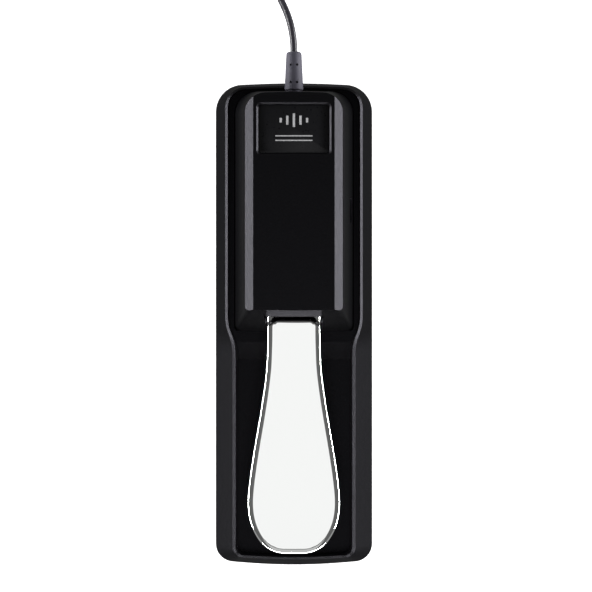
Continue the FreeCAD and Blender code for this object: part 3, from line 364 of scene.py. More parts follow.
bpy.ops.mesh.bevel(offset=TIE_CORNER, segments=5)
to_object()
add_modifier(tie, "SOLIDIFY", thickness=0.6 * TIE_THICK, offset=0.0)
add_modifier(tie, "BEVEL", width=0.12 * MM, segments=2, limit_method="ANGLE")
finish_modifiers(tie)
tie.rotation_euler = (0.0, 0.0, TIE_TURN)
tie.location = (COIL_CENTRE[0], COIL_CENTRE[1], 0.0)
place_in_mesh(tie)
tie_web = new_material("tie_web", (0.012, 0.012, 0.013), 0.85, specular=0.2)
add_grain(tie_web, 1400.0, 0.00012, 1.0, (1.0, 1.0, 3.0))
add_mottle(tie_web, "Base Color", 700.0, (0.008, 0.008, 0.009), (0.022, 0.022, 0.024))
tie.data.materials.append(tie_web)
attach(tie, "case")
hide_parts("cord_tie")


# ---- Jack plug ------------------------------------------------------------------------------
# A quarter inch mono plug: a ribbed bend guard and a grip in moulded PVC, then the nickel
# sleeve, a black insulating ring and the turned tip that the socket's spring clicks behind.
PLUG_AXIS = (0.0, 238.0 * MM, 5.75 * MM)
SLEEVE_RADIUS = 3.175 * MM
GUARD_RIBS = 5
GUARD_CORE = 2.3 * MM
GUARD_NARROW = 2.6 * MM
GUARD_WIDER = 1.9 * MM
GRIP_FLUTES = 12
FLUTE_RADIUS = 0.75 * MM
FLUTE_OUT = 6.15 * MM
FLUTE_LONG = 14.0 * MM
FLUTE_MIDDLE = 12.5 * MM


def plug_piece(name, profile, steps=64):
    return turned(name, profile, PLUG_AXIS, (1.0, 0.0, 0.0), steps)


guard_low, guard_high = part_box("plug_guard")
guard_profile = [(guard_low.x, CABLE_BORE), (guard_low.x, GUARD_CORE),
                 (guard_low.x + 0.3 * MM, GUARD_NARROW)]
rib_pitch = (guard_high.x - guard_low.x - 1.2 * MM) / GUARD_RIBS
for rib in range(GUARD_RIBS):
    here = guard_low.x + 0.6 * MM + rib * rib_pitch
    radius = GUARD_NARROW + GUARD_WIDER * (rib + 1) / GUARD_RIBS
    guard_profile += [(here + 0.05 * rib_pitch, radius - 0.15 * MM), (here + 0.15 * rib_pitch, radius),
                      (here + 0.55 * rib_pitch, radius + 0.05 * MM),
                      (here + 0.65 * rib_pitch, radius - 0.1 * MM),
                      (here + 0.7 * rib_pitch, GUARD_CORE), (here + 0.95 * rib_pitch, GUARD_CORE)]
guard_profile += [(guard_high.x, 4.2 * MM), (guard_high.x, CABLE_BORE), (guard_low.x, CABLE_BORE)]
guard = plug_piece("plug_bend_guard", guard_profile, 48)
place_in_mesh(guard)

grip_low, grip_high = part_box("plug_grip")
grip = plug_piece("plug_moulded_grip", [
    (grip_low.x, 1.0 * MM), (grip_low.x, 4.9 * MM), (grip_low.x + 0.4 * MM, 5.3 * MM),
    (grip_low.x + 1.2 * MM, 5.5 * MM), (grip_low.x + 20.0 * MM, 5.7 * MM),
    (grip_high.x - 3.0 * MM, 5.72 * MM), (grip_high.x - 2.6 * MM, 5.3 * MM),
    (grip_high.x - 2.0 * MM, 5.3 * MM), (grip_high.x - 1.6 * MM, 5.72 * MM),
    (grip_high.x - 0.5 * MM, 5.6 * MM), (grip_high.x, 5.1 * MM), (grip_high.x, 1.0 * MM),
    (grip_low.x, 1.0 * MM)])
flutes = []
for flute in range(GRIP_FLUTES):
    start_fresh()
    turn = math.tau * (flute + 0.5) / GRIP_FLUTES
    bpy.ops.mesh.primitive_cylinder_add(
        vertices=16, radius=FLUTE_RADIUS, depth=FLUTE_LONG, rotation=(0.0, math.pi / 2.0, 0.0),
        location=(grip_low.x + FLUTE_MIDDLE, PLUG_AXIS[1] + FLUTE_OUT * math.cos(turn),
                  PLUG_AXIS[2] + FLUTE_OUT * math.sin(turn)))
    flutes.append(bpy.context.object)
carve(grip, flutes)
place_in_mesh(grip)

sleeve_low, sleeve_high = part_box("plug_sleeve")
sleeve = plug_piece("plug_ground_sleeve", [
    (sleeve_low.x, 1.2 * MM), (sleeve_low.x, 4.3 * MM), (sleeve_low.x + 0.3 * MM, 4.6 * MM),
    (sleeve_low.x + 2.2 * MM, 4.6 * MM), (sleeve_low.x + 2.5 * MM, 4.35 * MM),
    (sleeve_low.x + 2.5 * MM, SLEEVE_RADIUS), (sleeve_high.x - 0.3 * MM, SLEEVE_RADIUS),
    (sleeve_high.x, 2.9 * MM), (sleeve_high.x, 1.2 * MM), (sleeve_low.x, 1.2 * MM)])
place_in_mesh(sleeve)

ring_low, ring_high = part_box("plug_insulator")
ring = plug_piece("plug_ring", [
    (ring_low.x, 1.2 * MM), (ring_low.x, 2.75 * MM), (ring_low.x + 0.2 * MM, 2.9 * MM),
    (ring_high.x - 0.2 * MM, 2.9 * MM), (ring_high.x, 2.75 * MM), (ring_high.x, 1.2 * MM),
    (ring_low.x, 1.2 * MM)], 48)
place_in_mesh(ring)

tip_low, tip_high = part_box("plug_tip")
tip = plug_piece("plug_turned_tip", [
    (tip_low.x, 0.0), (tip_low.x, 2.85 * MM), (tip_low.x + 0.4 * MM, 2.9 * MM),
    (tip_low.x + 1.6 * MM, 2.3 * MM), (tip_low.x + 2.4 * MM, 2.1 * MM),
    (tip_low.x + 2.9 * MM, 2.25 * MM), (tip_low.x + 3.8 * MM, 3.05 * MM),
    (tip_low.x + 4.2 * MM, 3.15 * MM), (tip_low.x + 4.7 * MM, 3.05 * MM),
    (tip_high.x - 1.0 * MM, 1.5 * MM), (tip_high.x - 0.3 * MM, 1.0 * MM), (tip_high.x, 0.45 * MM),
    (tip_high.x, 0.0)])
place_in_mesh(tip)

plug_pvc = new_material("plug_pvc", (0.013, 0.013, 0.014), 0.45, specular=0.4)
add_mottle(plug_pvc, "Roughness", 400.0, 0.38, 0.55)
add_grain(plug_pvc, 2200.0, 0.00001)
nickel = new_material("nickel", (0.72, 0.69, 0.63), 0.14, metallic=1.0)
add_mottle(nickel, "Roughness", 350.0, 0.1, 0.22)
add_grain(nickel, 3000.0, 0.0000015, 2.0, (12.0, 1.0, 1.0))
ring_black = new_material("ring_black", (0.01, 0.01, 0.01), 0.25)
add_mottle(ring_black, "Roughness", 800.0, 0.2, 0.35)
for piece, material, node, slot_name in (
        (guard, plug_pvc, "plug_guard", "plug_moulding"),
        (grip, plug_pvc, "plug_grip", "plug_moulding"),
        (sleeve, nickel, "plug_sleeve", "plug_nickel"),
        (ring, ring_black, "plug_insulator", "ring_plastic"),
        (tip, nickel, "plug_tip", "plug_nickel")):
    piece.data.materials.append(material)
    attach(piece, "case")
    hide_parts(node)


# ---- Base shell -----------------------------------------------------------------------------
# The tray-like lower moulding in black ABS, with a fine spark-eroded grain. Its skirt slopes
# in to a thin rolled lip round the deck and the treadle's well.
def rounded_copy(node, name, width, angle, segments=3, roundness=None):
    """The CAD piece again, with its triangles merged and its sharp edges rounded.

    The edges that turn by more than the angle are rounded. The rule called roundness gives each
    one's share of the width, which is the whole of it without such a rule.
    """
    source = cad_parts[node]
    thing = bpy.data.objects.new(name, source.data.copy())
    bpy.context.scene.collection.objects.link(thing)
    thing.data.materials.clear()
    to_edit(thing)
    bpy.ops.mesh.remove_doubles(threshold=0.000004)
    bpy.ops.mesh.dissolve_limited(angle_limit=math.radians(0.6))
    to_object()
    shape = bmesh.new()
    shape.from_mesh(thing.data)
    weights = shape.edges.layers.float.new("bevel_weight_edge")
    for edge in shape.edges:
        if len(edge.link_faces) == 2 and edge.calc_face_angle() > math.radians(angle):
            edge[weights] = roundness(edge) if roundness else 1.0
    shape.to_mesh(thing.data)
    shape.free()
    add_modifier(thing, "BEVEL", width=width, segments=segments, limit_method="WEIGHT",
                 use_clamp_overlap=True, miter_outer="MITER_ARC")
    finish_modifiers(thing)
    place_in_mesh(thing, 32.0)
    add_modifier(thing, "WEIGHTED_NORMAL", keep_sharp=True)
    finish_modifiers(thing)
    return thing


BASE_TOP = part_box("base_shell")[1].z
LIP_HIGH = 1.2 * MM


def lip_roundness(edge):
    """The lip is thin, so its edges are only broken; every other edge has the full round."""
    in_lip = min(vertex.co.z for vertex in edge.verts) > BASE_TOP - LIP_HIGH
    return 0.25 if in_lip else 1.0


def grained_abs(name, colour):
    """Black ABS from a spark-eroded mould; its reflections lean a little to violet."""
    material = new_material(name, colour, 0.3, specular=0.1)
    set_shader(material, "Specular Tint", (0.88, 0.86, 1.0, 1.0))
    add_mottle(material, "Roughness", 900.0, 0.285, 0.315)
    add_grain(material, 1300.0, 0.06 * MM)
    return material


base = rounded_copy("base_shell", "base_tray", 0.4 * MM, 12.0, 3, lip_roundness)
shell_abs = grained_abs("shell_abs", (0.002, 0.002, 0.0023))
base.data.materials.append(shell_abs)
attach(base, "case")
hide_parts("base_shell")


# ---- Housing cover --------------------------------------------------------------------------
# The tall drafted moulding over the mechanism, in the same grained black ABS. Its long roof
# edges are bevelled, and a small hood shades the mouth where the treadle comes out.
SLOT_CENTRE = (57.4 * MM, 21.5 * MM)
SLOT_REACH = (7.4 * MM, 4.0 * MM)
WALL_OUTSIDE = 27.0 * MM


def slot_roundness(edge):
    """The switch slot's rim is rounded the most, and every other edge is only broken."""
    middle = (edge.verts[0].co + edge.verts[1].co) / 2.0
    beside = abs(middle.y - SLOT_CENTRE[0]) < SLOT_REACH[0]
    level = abs(middle.z - SLOT_CENTRE[1]) < SLOT_REACH[1]
    return 1.0 if beside and level and middle.x > WALL_OUTSIDE else 0.4


housing = rounded_copy("housing_cover", "housing", 1.1 * MM, 24.0, 4, slot_roundness)
cover_abs = grained_abs("cover_abs", (0.0025, 0.0025, 0.0028))
housing.data.materials.append(cover_abs)
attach(housing, "case")
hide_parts("housing_cover")


# ---- Treadle --------------------------------------------------------------------------------
# Pressed from sheet steel, with its edge rolled down all round, then polished and chromed.
# The neck runs back into the housing, where two lugs hang it on the pivot pin.

# The outline's right half, across and along in mm, from the rear end to the front tip. Its
# points are closer where the neck steps up in the housing's mouth.
NECK_HALF = 12.95
PALM_HALF = 22.85
TREADLE_CORNERS = [(0.0, 79.0)]
TREADLE_CORNERS += [(NECK_HALF, along) for along in (79.0, 64.0, 30.0, 8.0, 5.0, 2.0, -1.0)]
TREADLE_CORNERS += [(12.97, -4.0), (13.0, -8.0), (13.7, -27.3), (PALM_HALF, -79.2), (PALM_HALF, -96.0),
                    (16.9, -108.6), (9.0, -113.5), (0.0, -113.6)]
# Where along the treadle, and how far below the arm there, its top lies, in mm.
FALL = [(90.0, 0.0), (8.0, 0.0), (-8.0, 0.35), (-24.0, 1.3), (-62.0, 4.2), (-92.0, 5.2),
        (-102.0, 6.1), (-108.0, 7.4), (-116.0, 10.0)]
FALL_EASE = 9.0
FALL_SAMPLES = 12
ARM_TOP = 41.5 * MM
# The neck's step up, which lies further forward at the neck's corners; along and across in mm.
STEP_UP = 1.6 * MM
STEP_START = 1.4
STEP_LONG = 3.4
STEP_SOONER = 2.6
STEP_CORNER = (8.5, 12.5)
# The top is crowned: it falls by this many metres times the square of the distance across.
CROWN = 0.9
ROLL_IN = 3.0 * MM
ROLL_DOWN = 1.25 * MM
ROLL_STEPS = 10
SKIRT = 3.0 * MM
SHEET = 1.7 * MM


def treadle_fall(along):
    """How far the treadle's top lies below the arm's, from the neck to the dropped tip."""
    for (near, near_drop), (far, far_drop) in zip(FALL, FALL[1:]):
        if along >= far:
            share = (near - along) / (near - far)
            return near_drop + share * (far_drop - near_drop)
    return FALL[-1][1]


def smooth_fall(along):
    """The same fall with its corners eased, as its mean over a stretch of the treadle."""
    places = [along + FALL_EASE * (2.0 * i / FALL_SAMPLES - 1.0) for i in range(FALL_SAMPLES + 1)]
    return sum(treadle_fall(place) for place in places) / len(places)


def neck_step(across, along):
    """How much of the step up is done, from 0 inside the housing to 1 in front of it."""
    start = STEP_START - STEP_SOONER * eased(abs(across), *STEP_CORNER)
    return 1.0 - eased(along, start, start + STEP_LONG)


start_fresh()
outline = bpy.data.curves.new("treadle_outline", "CURVE")
outline.dimensions = "2D"
outline.resolution_u = 14
outline.fill_mode = "NONE"
corners = TREADLE_CORNERS + [(-across, along) for across, along in reversed(TREADLE_CORNERS[1:-1])]
spline = outline.splines.new("NURBS")
spline.points.add(len(corners) - 1)
for point, (across, along) in zip(spline.points, corners):
    point.co = (across * MM, along * MM, 0.0, 1.0)
spline.order_u = 3
spline.use_cyclic_u = True
treadle = bpy.data.objects.new("treadle", outline)
bpy.context.scene.collection.objects.link(treadle)
activate(treadle)
bpy.ops.object.convert(target="MESH")
treadle = bpy.context.object
to_edit(treadle)
bpy.ops.mesh.remove_doubles(threshold=0.00001)
bpy.ops.mesh.edge_face_add()
bpy.ops.mesh.normals_make_consistent(inside=False)
to_object()
top_up = treadle.data.polygons[0].normal.z > 0
bpy.ops.object.mode_set(mode="EDIT")
if not top_up:
    bpy.ops.mesh.flip_normals()
bpy.ops.mesh.select_all(action="SELECT")
bpy.ops.transform.translate(value=(0.0, 0.0, -ROLL_DOWN))
for step in range(ROLL_STEPS):
    low_turn = step / ROLL_STEPS * math.pi / 2.0
    high_turn = (step + 1) / ROLL_STEPS * math.pi / 2.0
    bpy.ops.mesh.inset(thickness=ROLL_IN * (math.cos(low_turn) - math.cos(high_turn)),
                       depth=ROLL_DOWN * (math.sin(high_turn) - math.sin(low_turn)),
                       use_even_offset=True)

# The flat face inside the roll becomes a grid, so that it can follow the fall and the step.
to_edit(treadle, "DESELECT")
to_object()
inner = max(treadle.data.polygons, key=lambda face: face.area)
inner.select = True
bpy.ops.object.mode_set(mode="EDIT")
bpy.ops.mesh.select_mode(type="FACE")
bpy.ops.mesh.delete(type="ONLY_FACE")
bpy.ops.mesh.select_mode(type="EDGE")
bpy.ops.mesh.select_all(action="DESELECT")
bpy.ops.mesh.select_non_manifold(extend=False, use_wire=False, use_multi_face=False,
                                 use_non_contiguous=False, use_verts=False)
to_object()
below_top = -0.02 * ROLL_DOWN
for edge in treadle.data.edges:
    ends = [treadle.data.vertices[i].co for i in edge.vertices]
    if max(end.z for end in ends) < below_top:
        edge.select = False
for vertex in treadle.data.vertices:
    if vertex.co.z < below_top:
        vertex.select = False
bpy.ops.object.mode_set(mode="EDIT")
bpy.ops.mesh.fill_grid(span=24, use_interp_simple=True)
bpy.ops.mesh.select_all(action="DESELECT")
bpy.ops.mesh.select_mode(type="VERT")
to_object()
for vertex in treadle.data.vertices:
    vertex.select = vertex.co.z < -0.99 * ROLL_DOWN
bpy.ops.object.mode_set(mode="EDIT")
bpy.ops.mesh.select_mode(type="EDGE")
bpy.ops.mesh.extrude_region_move(TRANSFORM_OT_translate={"value": (0.0, 0.0, -SKIRT)})
bpy.ops.mesh.select_all(action="SELECT")
bpy.ops.mesh.normals_make_consistent(inside=False)
to_object()
for vertex in treadle.data.vertices:
    along = vertex.co.y / MM
    vertex.co.z += ARM_TOP + STEP_UP * neck_step(vertex.co.x / MM, along)
    vertex.co.z -= smooth_fall(along) * MM + CROWN * vertex.co.x ** 2
add_modifier(treadle, "SOLIDIFY", thickness=SHEET, offset=-1.0, use_even_offset=True)
finish_modifiers(treadle)

LUG_LEVEL = 34.5 * MM
LUG_ALONG = 70.0 * MM
LUG_ACROSS = 11.5 * MM
LUG_HALF = 1.5 * MM
LUG_BORE = 3.02 * MM
LUG_EDGE = 3.6 * MM
LUG_RADIUS = 3.8 * MM
LUG_CHAMFER = 0.2 * MM
WEB_SPANS = (2.0 * LUG_HALF, 7.4 * MM, 2.4 * MM)
WEB_RISE = 4.3 * MM


def bar(name, centre, spans, bevel, segments=2):
    """A block at its place with its edges rounded."""
    start_fresh()
    bpy.ops.mesh.primitive_cube_add(size=1.0, location=centre)
    block = bpy.context.object
    block.name = name
    block.scale = spans
    bpy.ops.object.transform_apply(location=True, scale=True)
    if bevel > 0.0:
        to_edit(block)
        bpy.ops.mesh.bevel(offset=bevel, segments=segments)
        to_object()
    return block


def joined(pieces, name):
    start_fresh()
    for piece in pieces:
        piece.select_set(True)
    bpy.context.view_layer.objects.active = pieces[0]
    bpy.ops.object.join()
    pieces[0].name = name
    return pieces[0]


treadle_pieces = [treadle]
for lug_across in (-LUG_ACROSS, LUG_ACROSS):
    treadle_pieces.append(turned("treadle_lug", [
        (-LUG_HALF, LUG_BORE), (-LUG_HALF, LUG_EDGE), (LUG_CHAMFER - LUG_HALF, LUG_RADIUS),
        (LUG_HALF - LUG_CHAMFER, LUG_RADIUS), (LUG_HALF, LUG_EDGE), (LUG_HALF, LUG_BORE),
        (-LUG_HALF, LUG_BORE)], (lug_across, LUG_ALONG, LUG_LEVEL), (1.0, 0.0, 0.0), steps=40))
    treadle_pieces.append(bar("lug_web", (lug_across, LUG_ALONG, LUG_LEVEL + WEB_RISE), WEB_SPANS,
                              0.3 * MM))
treadle = joined(treadle_pieces, "treadle_plate")
place_in_mesh(treadle, 50.0)

chrome = new_material("chrome", (0.86, 0.87, 0.86), 0.03, metallic=1.0)
add_mottle(chrome, "Roughness", 140.0, 0.02, 0.04)
add_grain(chrome, 900.0, 0.0000004, 2.0)
treadle.data.materials.append(chrome)
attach(treadle, "treadle")
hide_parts("pedal_treadle")


# ---- Emblem plate ---------------------------------------------------------------------------
# A thin satin-black film plate, stuck in the roof's recess. It carries a plain printed mark:
# five upright bars over two thin lines.
plate_low, plate_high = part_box("emblem_plate")
plate_centre = (plate_low + plate_high) / 2.0
FILM_CORNER = 1.2 * MM
emblem = bar("emblem_film", plate_centre, plate_high - plate_low, 0.0)
choose_edges(emblem, lambda first, second: abs(first.z - second.z) > 0.2 * MM)
bpy.ops.mesh.bevel(offset=FILM_CORNER, segments=6)
to_object()
add_modifier(emblem, "BEVEL", width=0.06 * MM, segments=2, limit_method="ANGLE",
             angle_limit=math.radians(50.0))
finish_modifiers(emblem)
place_in_mesh(emblem)
film_black = new_material("film_black", (0.006, 0.006, 0.007), 0.3, specular=0.2)
add_mottle(film_black, "Roughness", 500.0, 0.27, 0.34)
emblem.data.materials.append(film_black)
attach(emblem, "case")
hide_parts("emblem_plate")

MARK_HEIGHTS = (2.2 * MM, 4.4 * MM, 6.6 * MM, 4.4 * MM, 2.2 * MM)
MARK_PITCH = 3.2 * MM
MARK_ALONG = plate_centre.y + 4.2 * MM
BAR_WIDTH = 1.1 * MM
LINE_ALONGS = (plate_centre.y - 3.4 * MM, plate_centre.y - 5.6 * MM)
LINE_LONG = 18.0 * MM
LINE_WIDTH = 0.55 * MM
INK_THICK = 0.05 * MM
INK_LEVEL = plate_high.z + 0.015 * MM
INK_ROUND = 0.01 * MM
strokes = []
for place, height in enumerate(MARK_HEIGHTS):
    across = plate_centre.x + (place - len(MARK_HEIGHTS) // 2) * MARK_PITCH
    strokes.append(bar("mark_bar", (across, MARK_ALONG, INK_LEVEL), (BAR_WIDTH, height, INK_THICK),
                       INK_ROUND, 1))
for along in LINE_ALONGS:
    strokes.append(bar("mark_line", (plate_centre.x, along, INK_LEVEL), (LINE_LONG, LINE_WIDTH, INK_THICK),
                       INK_ROUND, 1))
mark = joined(strokes, "emblem_mark")
place_in_mesh(mark)
mark_ink = new_material("mark_ink", (0.42, 0.42, 0.43), 0.5)
add_mottle(mark_ink, "Base Color", 1500.0, (0.34, 0.34, 0.35), (0.5, 0.5, 0.51))
mark.data.materials.append(mark_ink)
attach(mark, "case")


# ---- Polarity switch knob -------------------------------------------------------------------
# The slide switch's knob, black acetal with three grooves for a fingertip, in the wall's slot.
knob_low, knob_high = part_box("polarity_switch_knob")
knob_centre = (knob_low + knob_high) / 2.0
GROOVE_PITCH = 0.95 * MM
GROOVE_RADIUS = 0.32 * MM
GROOVE_LONG = 4.0 * MM
GROOVE_OUT = 0.08 * MM
knob = bar("switch_knob", knob_centre, knob_high - knob_low, 0.25 * MM)
grooves = []
for groove in (-1, 0, 1):
    start_fresh()
    bpy.ops.mesh.primitive_cylinder_add(
        vertices=12, radius=GROOVE_RADIUS, depth=GROOVE_LONG,
        location=(knob_high.x + GROOVE_OUT, knob_centre.y + groove * GROOVE_PITCH, knob_centre.z))
    grooves.append(bpy.context.object)
carve(knob, grooves)
place_in_mesh(knob)
knob_acetal = new_material("knob_acetal", (0.012, 0.012, 0.012), 0.4, specular=0.4)
add_mottle(knob_acetal, "Roughness", 900.0, 0.34, 0.46)
add_grain(knob_acetal, 2600.0, 0.000008)
knob.data.materials.append(knob_acetal)
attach(knob, "knob")
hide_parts("polarity_switch_knob")


# ---- Sole -----------------------------------------------------------------------------------
# A sheet of black rubber with fine cross ribs, stuck under the steel plate. Eight holes leave
# the case screws' heads free.
RIB_PITCH = 4.0 * MM
RIB_GROOVE = 0.55 * MM
PLAIN_MARGIN = 12.0 * MM
sole = rounded_copy("rubber_sole", "ribbed_sole", 0.3 * MM, 40.0, 2)
sole_low, sole_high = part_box("rubber_sole")
rib_count = int((sole_high.y - sole_low.y - PLAIN_MARGIN) / RIB_PITCH)
start_fresh()
bpy.ops.mesh.primitive_cylinder_add(
    vertices=8, radius=RIB_GROOVE, depth=sole_high.x - sole_low.x - PLAIN_MARGIN,
    rotation=(0.0, math.pi / 2.0, 0.0), location=(0.0, -rib_count * RIB_PITCH / 2.0, sole_low.z))
rib_cutter = bpy.context.object
bpy.ops.object.transform_apply(location=True, rotation=True)
add_modifier(rib_cutter, "ARRAY", count=rib_count + 1, use_relative_offset=False, use_constant_offset=True,
             constant_offset_displace=(0.0, RIB_PITCH, 0.0))
finish_modifiers(rib_cutter)
carve(sole, [rib_cutter])
place_in_mesh(sole)
sole_rubber = new_material("sole_rubber", (0.012, 0.012, 0.012), 0.75, specular=0.25)
add_mottle(sole_rubber, "Roughness", 200.0, 0.65, 0.85)
add_grain(sole_rubber, 1800.0, 0.00003)
sole.data.materials.append(sole_rubber)
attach(sole, "case")
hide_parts("rubber_sole")


# ---- Case screws ----------------------------------------------------------------------------
# Zinc-plated pan-head self-tapping screws with a cross recess, driven in from below.
zinc = new_material("zinc", (0.55, 0.56, 0.58), 0.32, metallic=1.0)
add_mottle(zinc, "Roughness", 600.0, 0.26, 0.42)
add_mottle(zinc, "Base Color", 300.0, (0.48, 0.49, 0.51), (0.6, 0.6, 0.61))

HEAD_RADIUS = 3.0 * MM
HEAD_HIGH = 1.6 * MM
CORE_RADIUS = 1.15 * MM
THREAD_RADIUS = 1.42 * MM
THREAD_PITCH = 1.1 * MM
RECESS_SPANS = (3.0 * MM, 0.6 * MM, 1.5 * MM)
RECESS_TURN = 0.6


def pan_screw(across, along, low, high):
    """A screw that stands head down, with its head's top at the low level."""
    shank = high - low - HEAD_HIGH
    thread = []
    for turn in range(int((shank - 1.2 * MM) / THREAD_PITCH)):
        here = HEAD_HIGH + 0.4 * MM + turn * THREAD_PITCH
        thread += [(here, CORE_RADIUS), (here + 0.45 * MM, THREAD_RADIUS),
                   (here + 0.6 * MM, THREAD_RADIUS), (here + 1.0 * MM, CORE_RADIUS)]
    blank = turned("case_screw", [
        (0.0, 0.0), (0.0, HEAD_RADIUS - 1.0 * MM), (0.12 * MM, HEAD_RADIUS - 0.5 * MM),
        (0.4 * MM, HEAD_RADIUS - 0.1 * MM), (0.7 * MM, HEAD_RADIUS), (HEAD_HIGH - 0.1 * MM, HEAD_RADIUS),
        (HEAD_HIGH, HEAD_RADIUS - 0.1 * MM), (HEAD_HIGH, 1.3 * MM)] + thread + [
        (HEAD_HIGH + shank - 0.5 * MM, 1.0 * MM), (HEAD_HIGH + shank, 0.1 * MM),
        (HEAD_HIGH + shank, 0.0)], (across, along, low), (0.0, 0.0, 1.0), steps=28)
    recess = []
    for turn in (RECESS_TURN, RECESS_TURN + math.pi / 2.0):
        start_fresh()
        bpy.ops.mesh.primitive_cube_add(size=1.0, location=(across, along, low + 0.25 * MM),
                                        rotation=(0.0, 0.0, turn))
        arm = bpy.context.object
        arm.scale = RECESS_SPANS
        bpy.ops.object.transform_apply(location=True, rotation=True, scale=True)
        recess.append(arm)
    carve(blank, recess)
    return blank


for node in ("cover_screws", "base_screws"):
    low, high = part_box(node)
    driven = []
    for across in (low.x + HEAD_RADIUS, high.x - HEAD_RADIUS):
        for along in (low.y + HEAD_RADIUS, high.y - HEAD_RADIUS):
            driven.append(pan_screw(across, along, low.z, high.z))
    screws = joined(driven, "driven_" + node)
    place_in_mesh(screws)
    screws.data.materials.append(zinc)
    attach(screws, "case")
    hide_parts(node)


# ---- Steel inside the case ------------------------------------------------------------------
# The base plate, the pivot bracket, the stop's post and the small screws are zinc plated. The
# pivot pin is ground bar, and its clip is hard drawn wire.
def dress(material, *node_names):
    """Give a CAD part's object its material."""
    for node in node_names:
        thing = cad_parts[node]
        thing.data.materials.clear()
        thing.data.materials.append(material)


dress(zinc, "bottom_plate", "pivot_bracket", "stop_post", "bracket_screws", "board_screws", "clamp_screws")
ground_steel = new_material("ground_steel", (0.5, 0.5, 0.52), 0.2, metallic=1.0)
add_grain(ground_steel, 2500.0, 0.000002, 2.0, (1.0, 20.0, 20.0))
add_mottle(ground_steel, "Roughness", 800.0, 0.16, 0.28)
dress(ground_steel, "pivot_pin")
spring_wire = new_material("spring_wire", (0.32, 0.31, 0.3), 0.3, metallic=1.0)
add_mottle(spring_wire, "Base Color", 400.0, (0.26, 0.25, 0.24), (0.38, 0.37, 0.36))
add_grain(spring_wire, 2000.0, 0.000004)
dress(spring_wire, "pin_clip")


# ---- Return spring --------------------------------------------------------------------------
# Eight turns of hard drawn wire, standing on the seat and pushing up the cup under the arm.
# The real spring shortens as the treadle goes down; this one keeps one length.
SPRING_FOOT = (0.0, 28.0 * MM, 5.0 * MM)
SPRING_LONG = 32.3 * MM
SPRING_RADIUS = 6.0 * MM
WIRE_RADIUS = 0.8 * MM
SPRING_TURNS = 8
start_fresh()
bpy.ops.mesh.primitive_circle_add(
    vertices=12, radius=WIRE_RADIUS, fill_type="NOTHING", rotation=(math.pi / 2.0, 0.0, 0.0),
    location=(SPRING_FOOT[0], SPRING_FOOT[1], SPRING_FOOT[2] + WIRE_RADIUS))
spring = bpy.context.object
spring.name = "coil_spring"
bpy.ops.object.transform_apply(location=False, rotation=True, scale=False)
to_edit(spring)
bpy.ops.transform.translate(value=(SPRING_RADIUS, 0.0, 0.0))
to_object()
add_modifier(spring, "SCREW", axis="Z", angle=math.tau, steps=32, render_steps=32,
             iterations=SPRING_TURNS, screw_offset=(SPRING_LONG - 2.0 * WIRE_RADIUS) / SPRING_TURNS)
finish_modifiers(spring)
to_edit(spring)
bpy.ops.mesh.fill_holes(sides=0)
bpy.ops.mesh.normals_make_consistent(inside=False)
to_object()
place_in_mesh(spring)
spring.data.materials.append(spring_wire)
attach(spring, "case")
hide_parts("return_spring")
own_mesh(spring)


# ---- Mouldings inside the case --------------------------------------------------------------
# Natural nylon bushes and spring cup, black nylon pillars, seat and cable clamp, and two
# black rubber stop pads.
natural_nylon = new_material("natural_nylon", (0.66, 0.63, 0.55), 0.45)
set_shader(natural_nylon, "Subsurface Weight", 0.1)
set_shader(natural_nylon, "Subsurface Scale", 1.0 * MM)
add_mottle(natural_nylon, "Base Color", 300.0, (0.6, 0.57, 0.49), (0.7, 0.67, 0.6))
add_grain(natural_nylon, 1500.0, 0.00001)
dress(natural_nylon, "pivot_bush_left", "pivot_bush_right", "spring_cup")
black_nylon = new_material("black_nylon", (0.015, 0.015, 0.016), 0.5, specular=0.4)
add_mottle(black_nylon, "Roughness", 350.0, 0.42, 0.6)
add_grain(black_nylon, 1500.0, 0.00001)
dress(black_nylon, "spring_seat", "board_pillars", "cable_clamp_post", "cable_clamp")
stop_rubber = new_material("stop_rubber", (0.02, 0.02, 0.02), 0.8, specular=0.3)
add_mottle(stop_rubber, "Roughness", 250.0, 0.7, 0.9)
add_grain(stop_rubber, 1200.0, 0.00003)
dress(stop_rubber, "upper_stop_pad", "lower_stop_pad")


# ---- Board and wiring -----------------------------------------------------------------------
# A green glass-epoxy board carries the momentary switch. Three cores of the cable and three
# leads from the slide switch are soldered to it.
board_green = new_material("board_green", (0.012, 0.09, 0.03), 0.3, specular=0.5)
add_mottle(board_green, "Base Color", 220.0, (0.008, 0.06, 0.02), (0.018, 0.12, 0.04), 6.0)
add_grain(board_green, 2500.0, 0.000008, 2.0, (1.0, 0.2, 1.0))
dress(board_green, "circuit_board")
switch_black = new_material("switch_black", (0.016, 0.016, 0.017), 0.42, specular=0.45)
add_mottle(switch_black, "Roughness", 600.0, 0.36, 0.5)
add_grain(switch_black, 2200.0, 0.000006)
dress(switch_black, "microswitch_body", "polarity_switch_body")
plunger_red = new_material("plunger_red", (0.5, 0.03, 0.02), 0.35)
add_mottle(plunger_red, "Base Color", 900.0, (0.42, 0.02, 0.015), (0.55, 0.04, 0.03))
dress(plunger_red, "microswitch_plunger")
tinned = new_material("tinned", (0.66, 0.65, 0.62), 0.3, metallic=1.0)
add_mottle(tinned, "Roughness", 1500.0, 0.22, 0.4)
dress(tinned, "polarity_switch_pins")
for name, colour, wires in (
        ("core_red", (0.5, 0.02, 0.02), ("core_wire_red", "switch_leads")),
        ("core_black", (0.015, 0.015, 0.015), ("core_wire_black",)),
        ("core_white", (0.7, 0.7, 0.68), ("core_wire_white",))):
    jacket = new_material(name, colour, 0.35)
    add_mottle(jacket, "Roughness", 700.0, 0.3, 0.42)
    add_grain(jacket, 2000.0, 0.000006)
    dress(jacket, *wires)
dress(cable_pvc, "inner_cord")


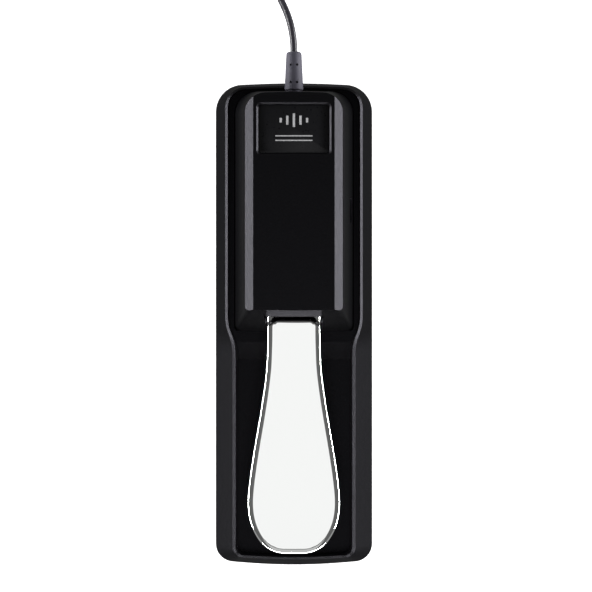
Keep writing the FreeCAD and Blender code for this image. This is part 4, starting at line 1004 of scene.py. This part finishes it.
# ---- Floor and light ------------------------------------------------------------------------
# A white sweep that glows by itself, a soft light overhead and a weaker one in front. Long low
# strip lights at both sides and in front draw the bright lines along the moulded edges.
FLOOR_SIZE = 6.0
FLOOR_LEVEL = -0.2 * MM
start_fresh()
bpy.ops.mesh.primitive_plane_add(size=FLOOR_SIZE, location=(0.0, 0.0, FLOOR_LEVEL))
floor = bpy.context.object
floor.name = "floor"
floor_white = new_material("floor_white", (0.9, 0.9, 0.9), 0.9, specular=0.0)
set_shader(floor_white, "Emission Color", (1.0, 1.0, 1.0, 1.0))
set_shader(floor_white, "Emission Strength", 0.9)
floor.data.materials.append(floor_white)
floor.visible_glossy = False


def soft_light(name, place, aim, width, height, radiance):
    """A rectangular light that the camera doesn't see; its sizes are in metres."""
    data = bpy.data.lights.new(name, "AREA")
    data.shape = "RECTANGLE"
    data.size = width
    data.size_y = height
    data.energy = radiance * width * height * math.pi
    lamp = bpy.data.objects.new(name, data)
    lamp.location = place
    lamp.rotation_euler = (Vector(aim) - Vector(place)).to_track_quat("-Z", "Y").to_euler()
    lamp.visible_camera = False
    bpy.context.scene.collection.objects.link(lamp)


STRIP_AIM = (0.0, 0.0, 0.05)
STRIP_HIGH = 0.2
soft_light("overhead", (0.0, -0.6, 1.6), (0.0, -0.6, 0.0), 0.7, 1.3, 0.92)
soft_light("front_fill", (0.0, -2.0, 1.3), (0.0, -0.1, 0.0), 1.2, 1.3, 0.45)
soft_light("strip_right", (1.5, 0.0, 0.26), STRIP_AIM, 2.4, STRIP_HIGH, 50.0)
soft_light("strip_left", (-1.5, 0.0, 0.26), STRIP_AIM, 2.4, STRIP_HIGH, 44.0)
soft_light("strip_front", (0.0, -1.5, 0.20), STRIP_AIM, 2.0, STRIP_HIGH, 18.0)

# The room round the sweep: bright at the horizon, dim overhead and dim below. Each pair is the
# upward part of a direction, from straight down to straight up, and the brightness there.
SKY = [(-1.0, 0.1), (-0.85, 0.1), (-0.6, 0.12), (-0.3, 0.2), (0.0, 0.4), (0.2, 0.4), (0.4, 0.15),
       (0.6, 0.12), (1.0, 0.14)]
world = bpy.data.worlds.new("studio")
world.use_nodes = True
nodes = world.node_tree.nodes
links = world.node_tree.links
direction = nodes.new("ShaderNodeTexCoord")
upward = nodes.new("ShaderNodeSeparateXYZ")
share = nodes.new("ShaderNodeMapRange")
share.inputs["From Min"].default_value = -1.0
share.inputs["From Max"].default_value = 1.0
ramp = nodes.new("ShaderNodeValToRGB")
stops = ramp.color_ramp.elements
stops.remove(stops[1])
for number, (rise, brightness) in enumerate(SKY):
    position = (rise + 1.0) / 2.0
    stop = stops[0] if number == 0 else stops.new(position)
    stop.position = position
    stop.color = (brightness, brightness, brightness, 1.0)
links.new(direction.outputs["Generated"], upward.inputs["Vector"])
links.new(upward.outputs["Z"], share.inputs["Value"])
links.new(share.outputs["Result"], ramp.inputs["Fac"])
links.new(ramp.outputs["Color"], nodes["Background"].inputs["Color"])
bpy.context.scene.world = world
bpy.context.scene.view_settings.view_transform = "Standard"
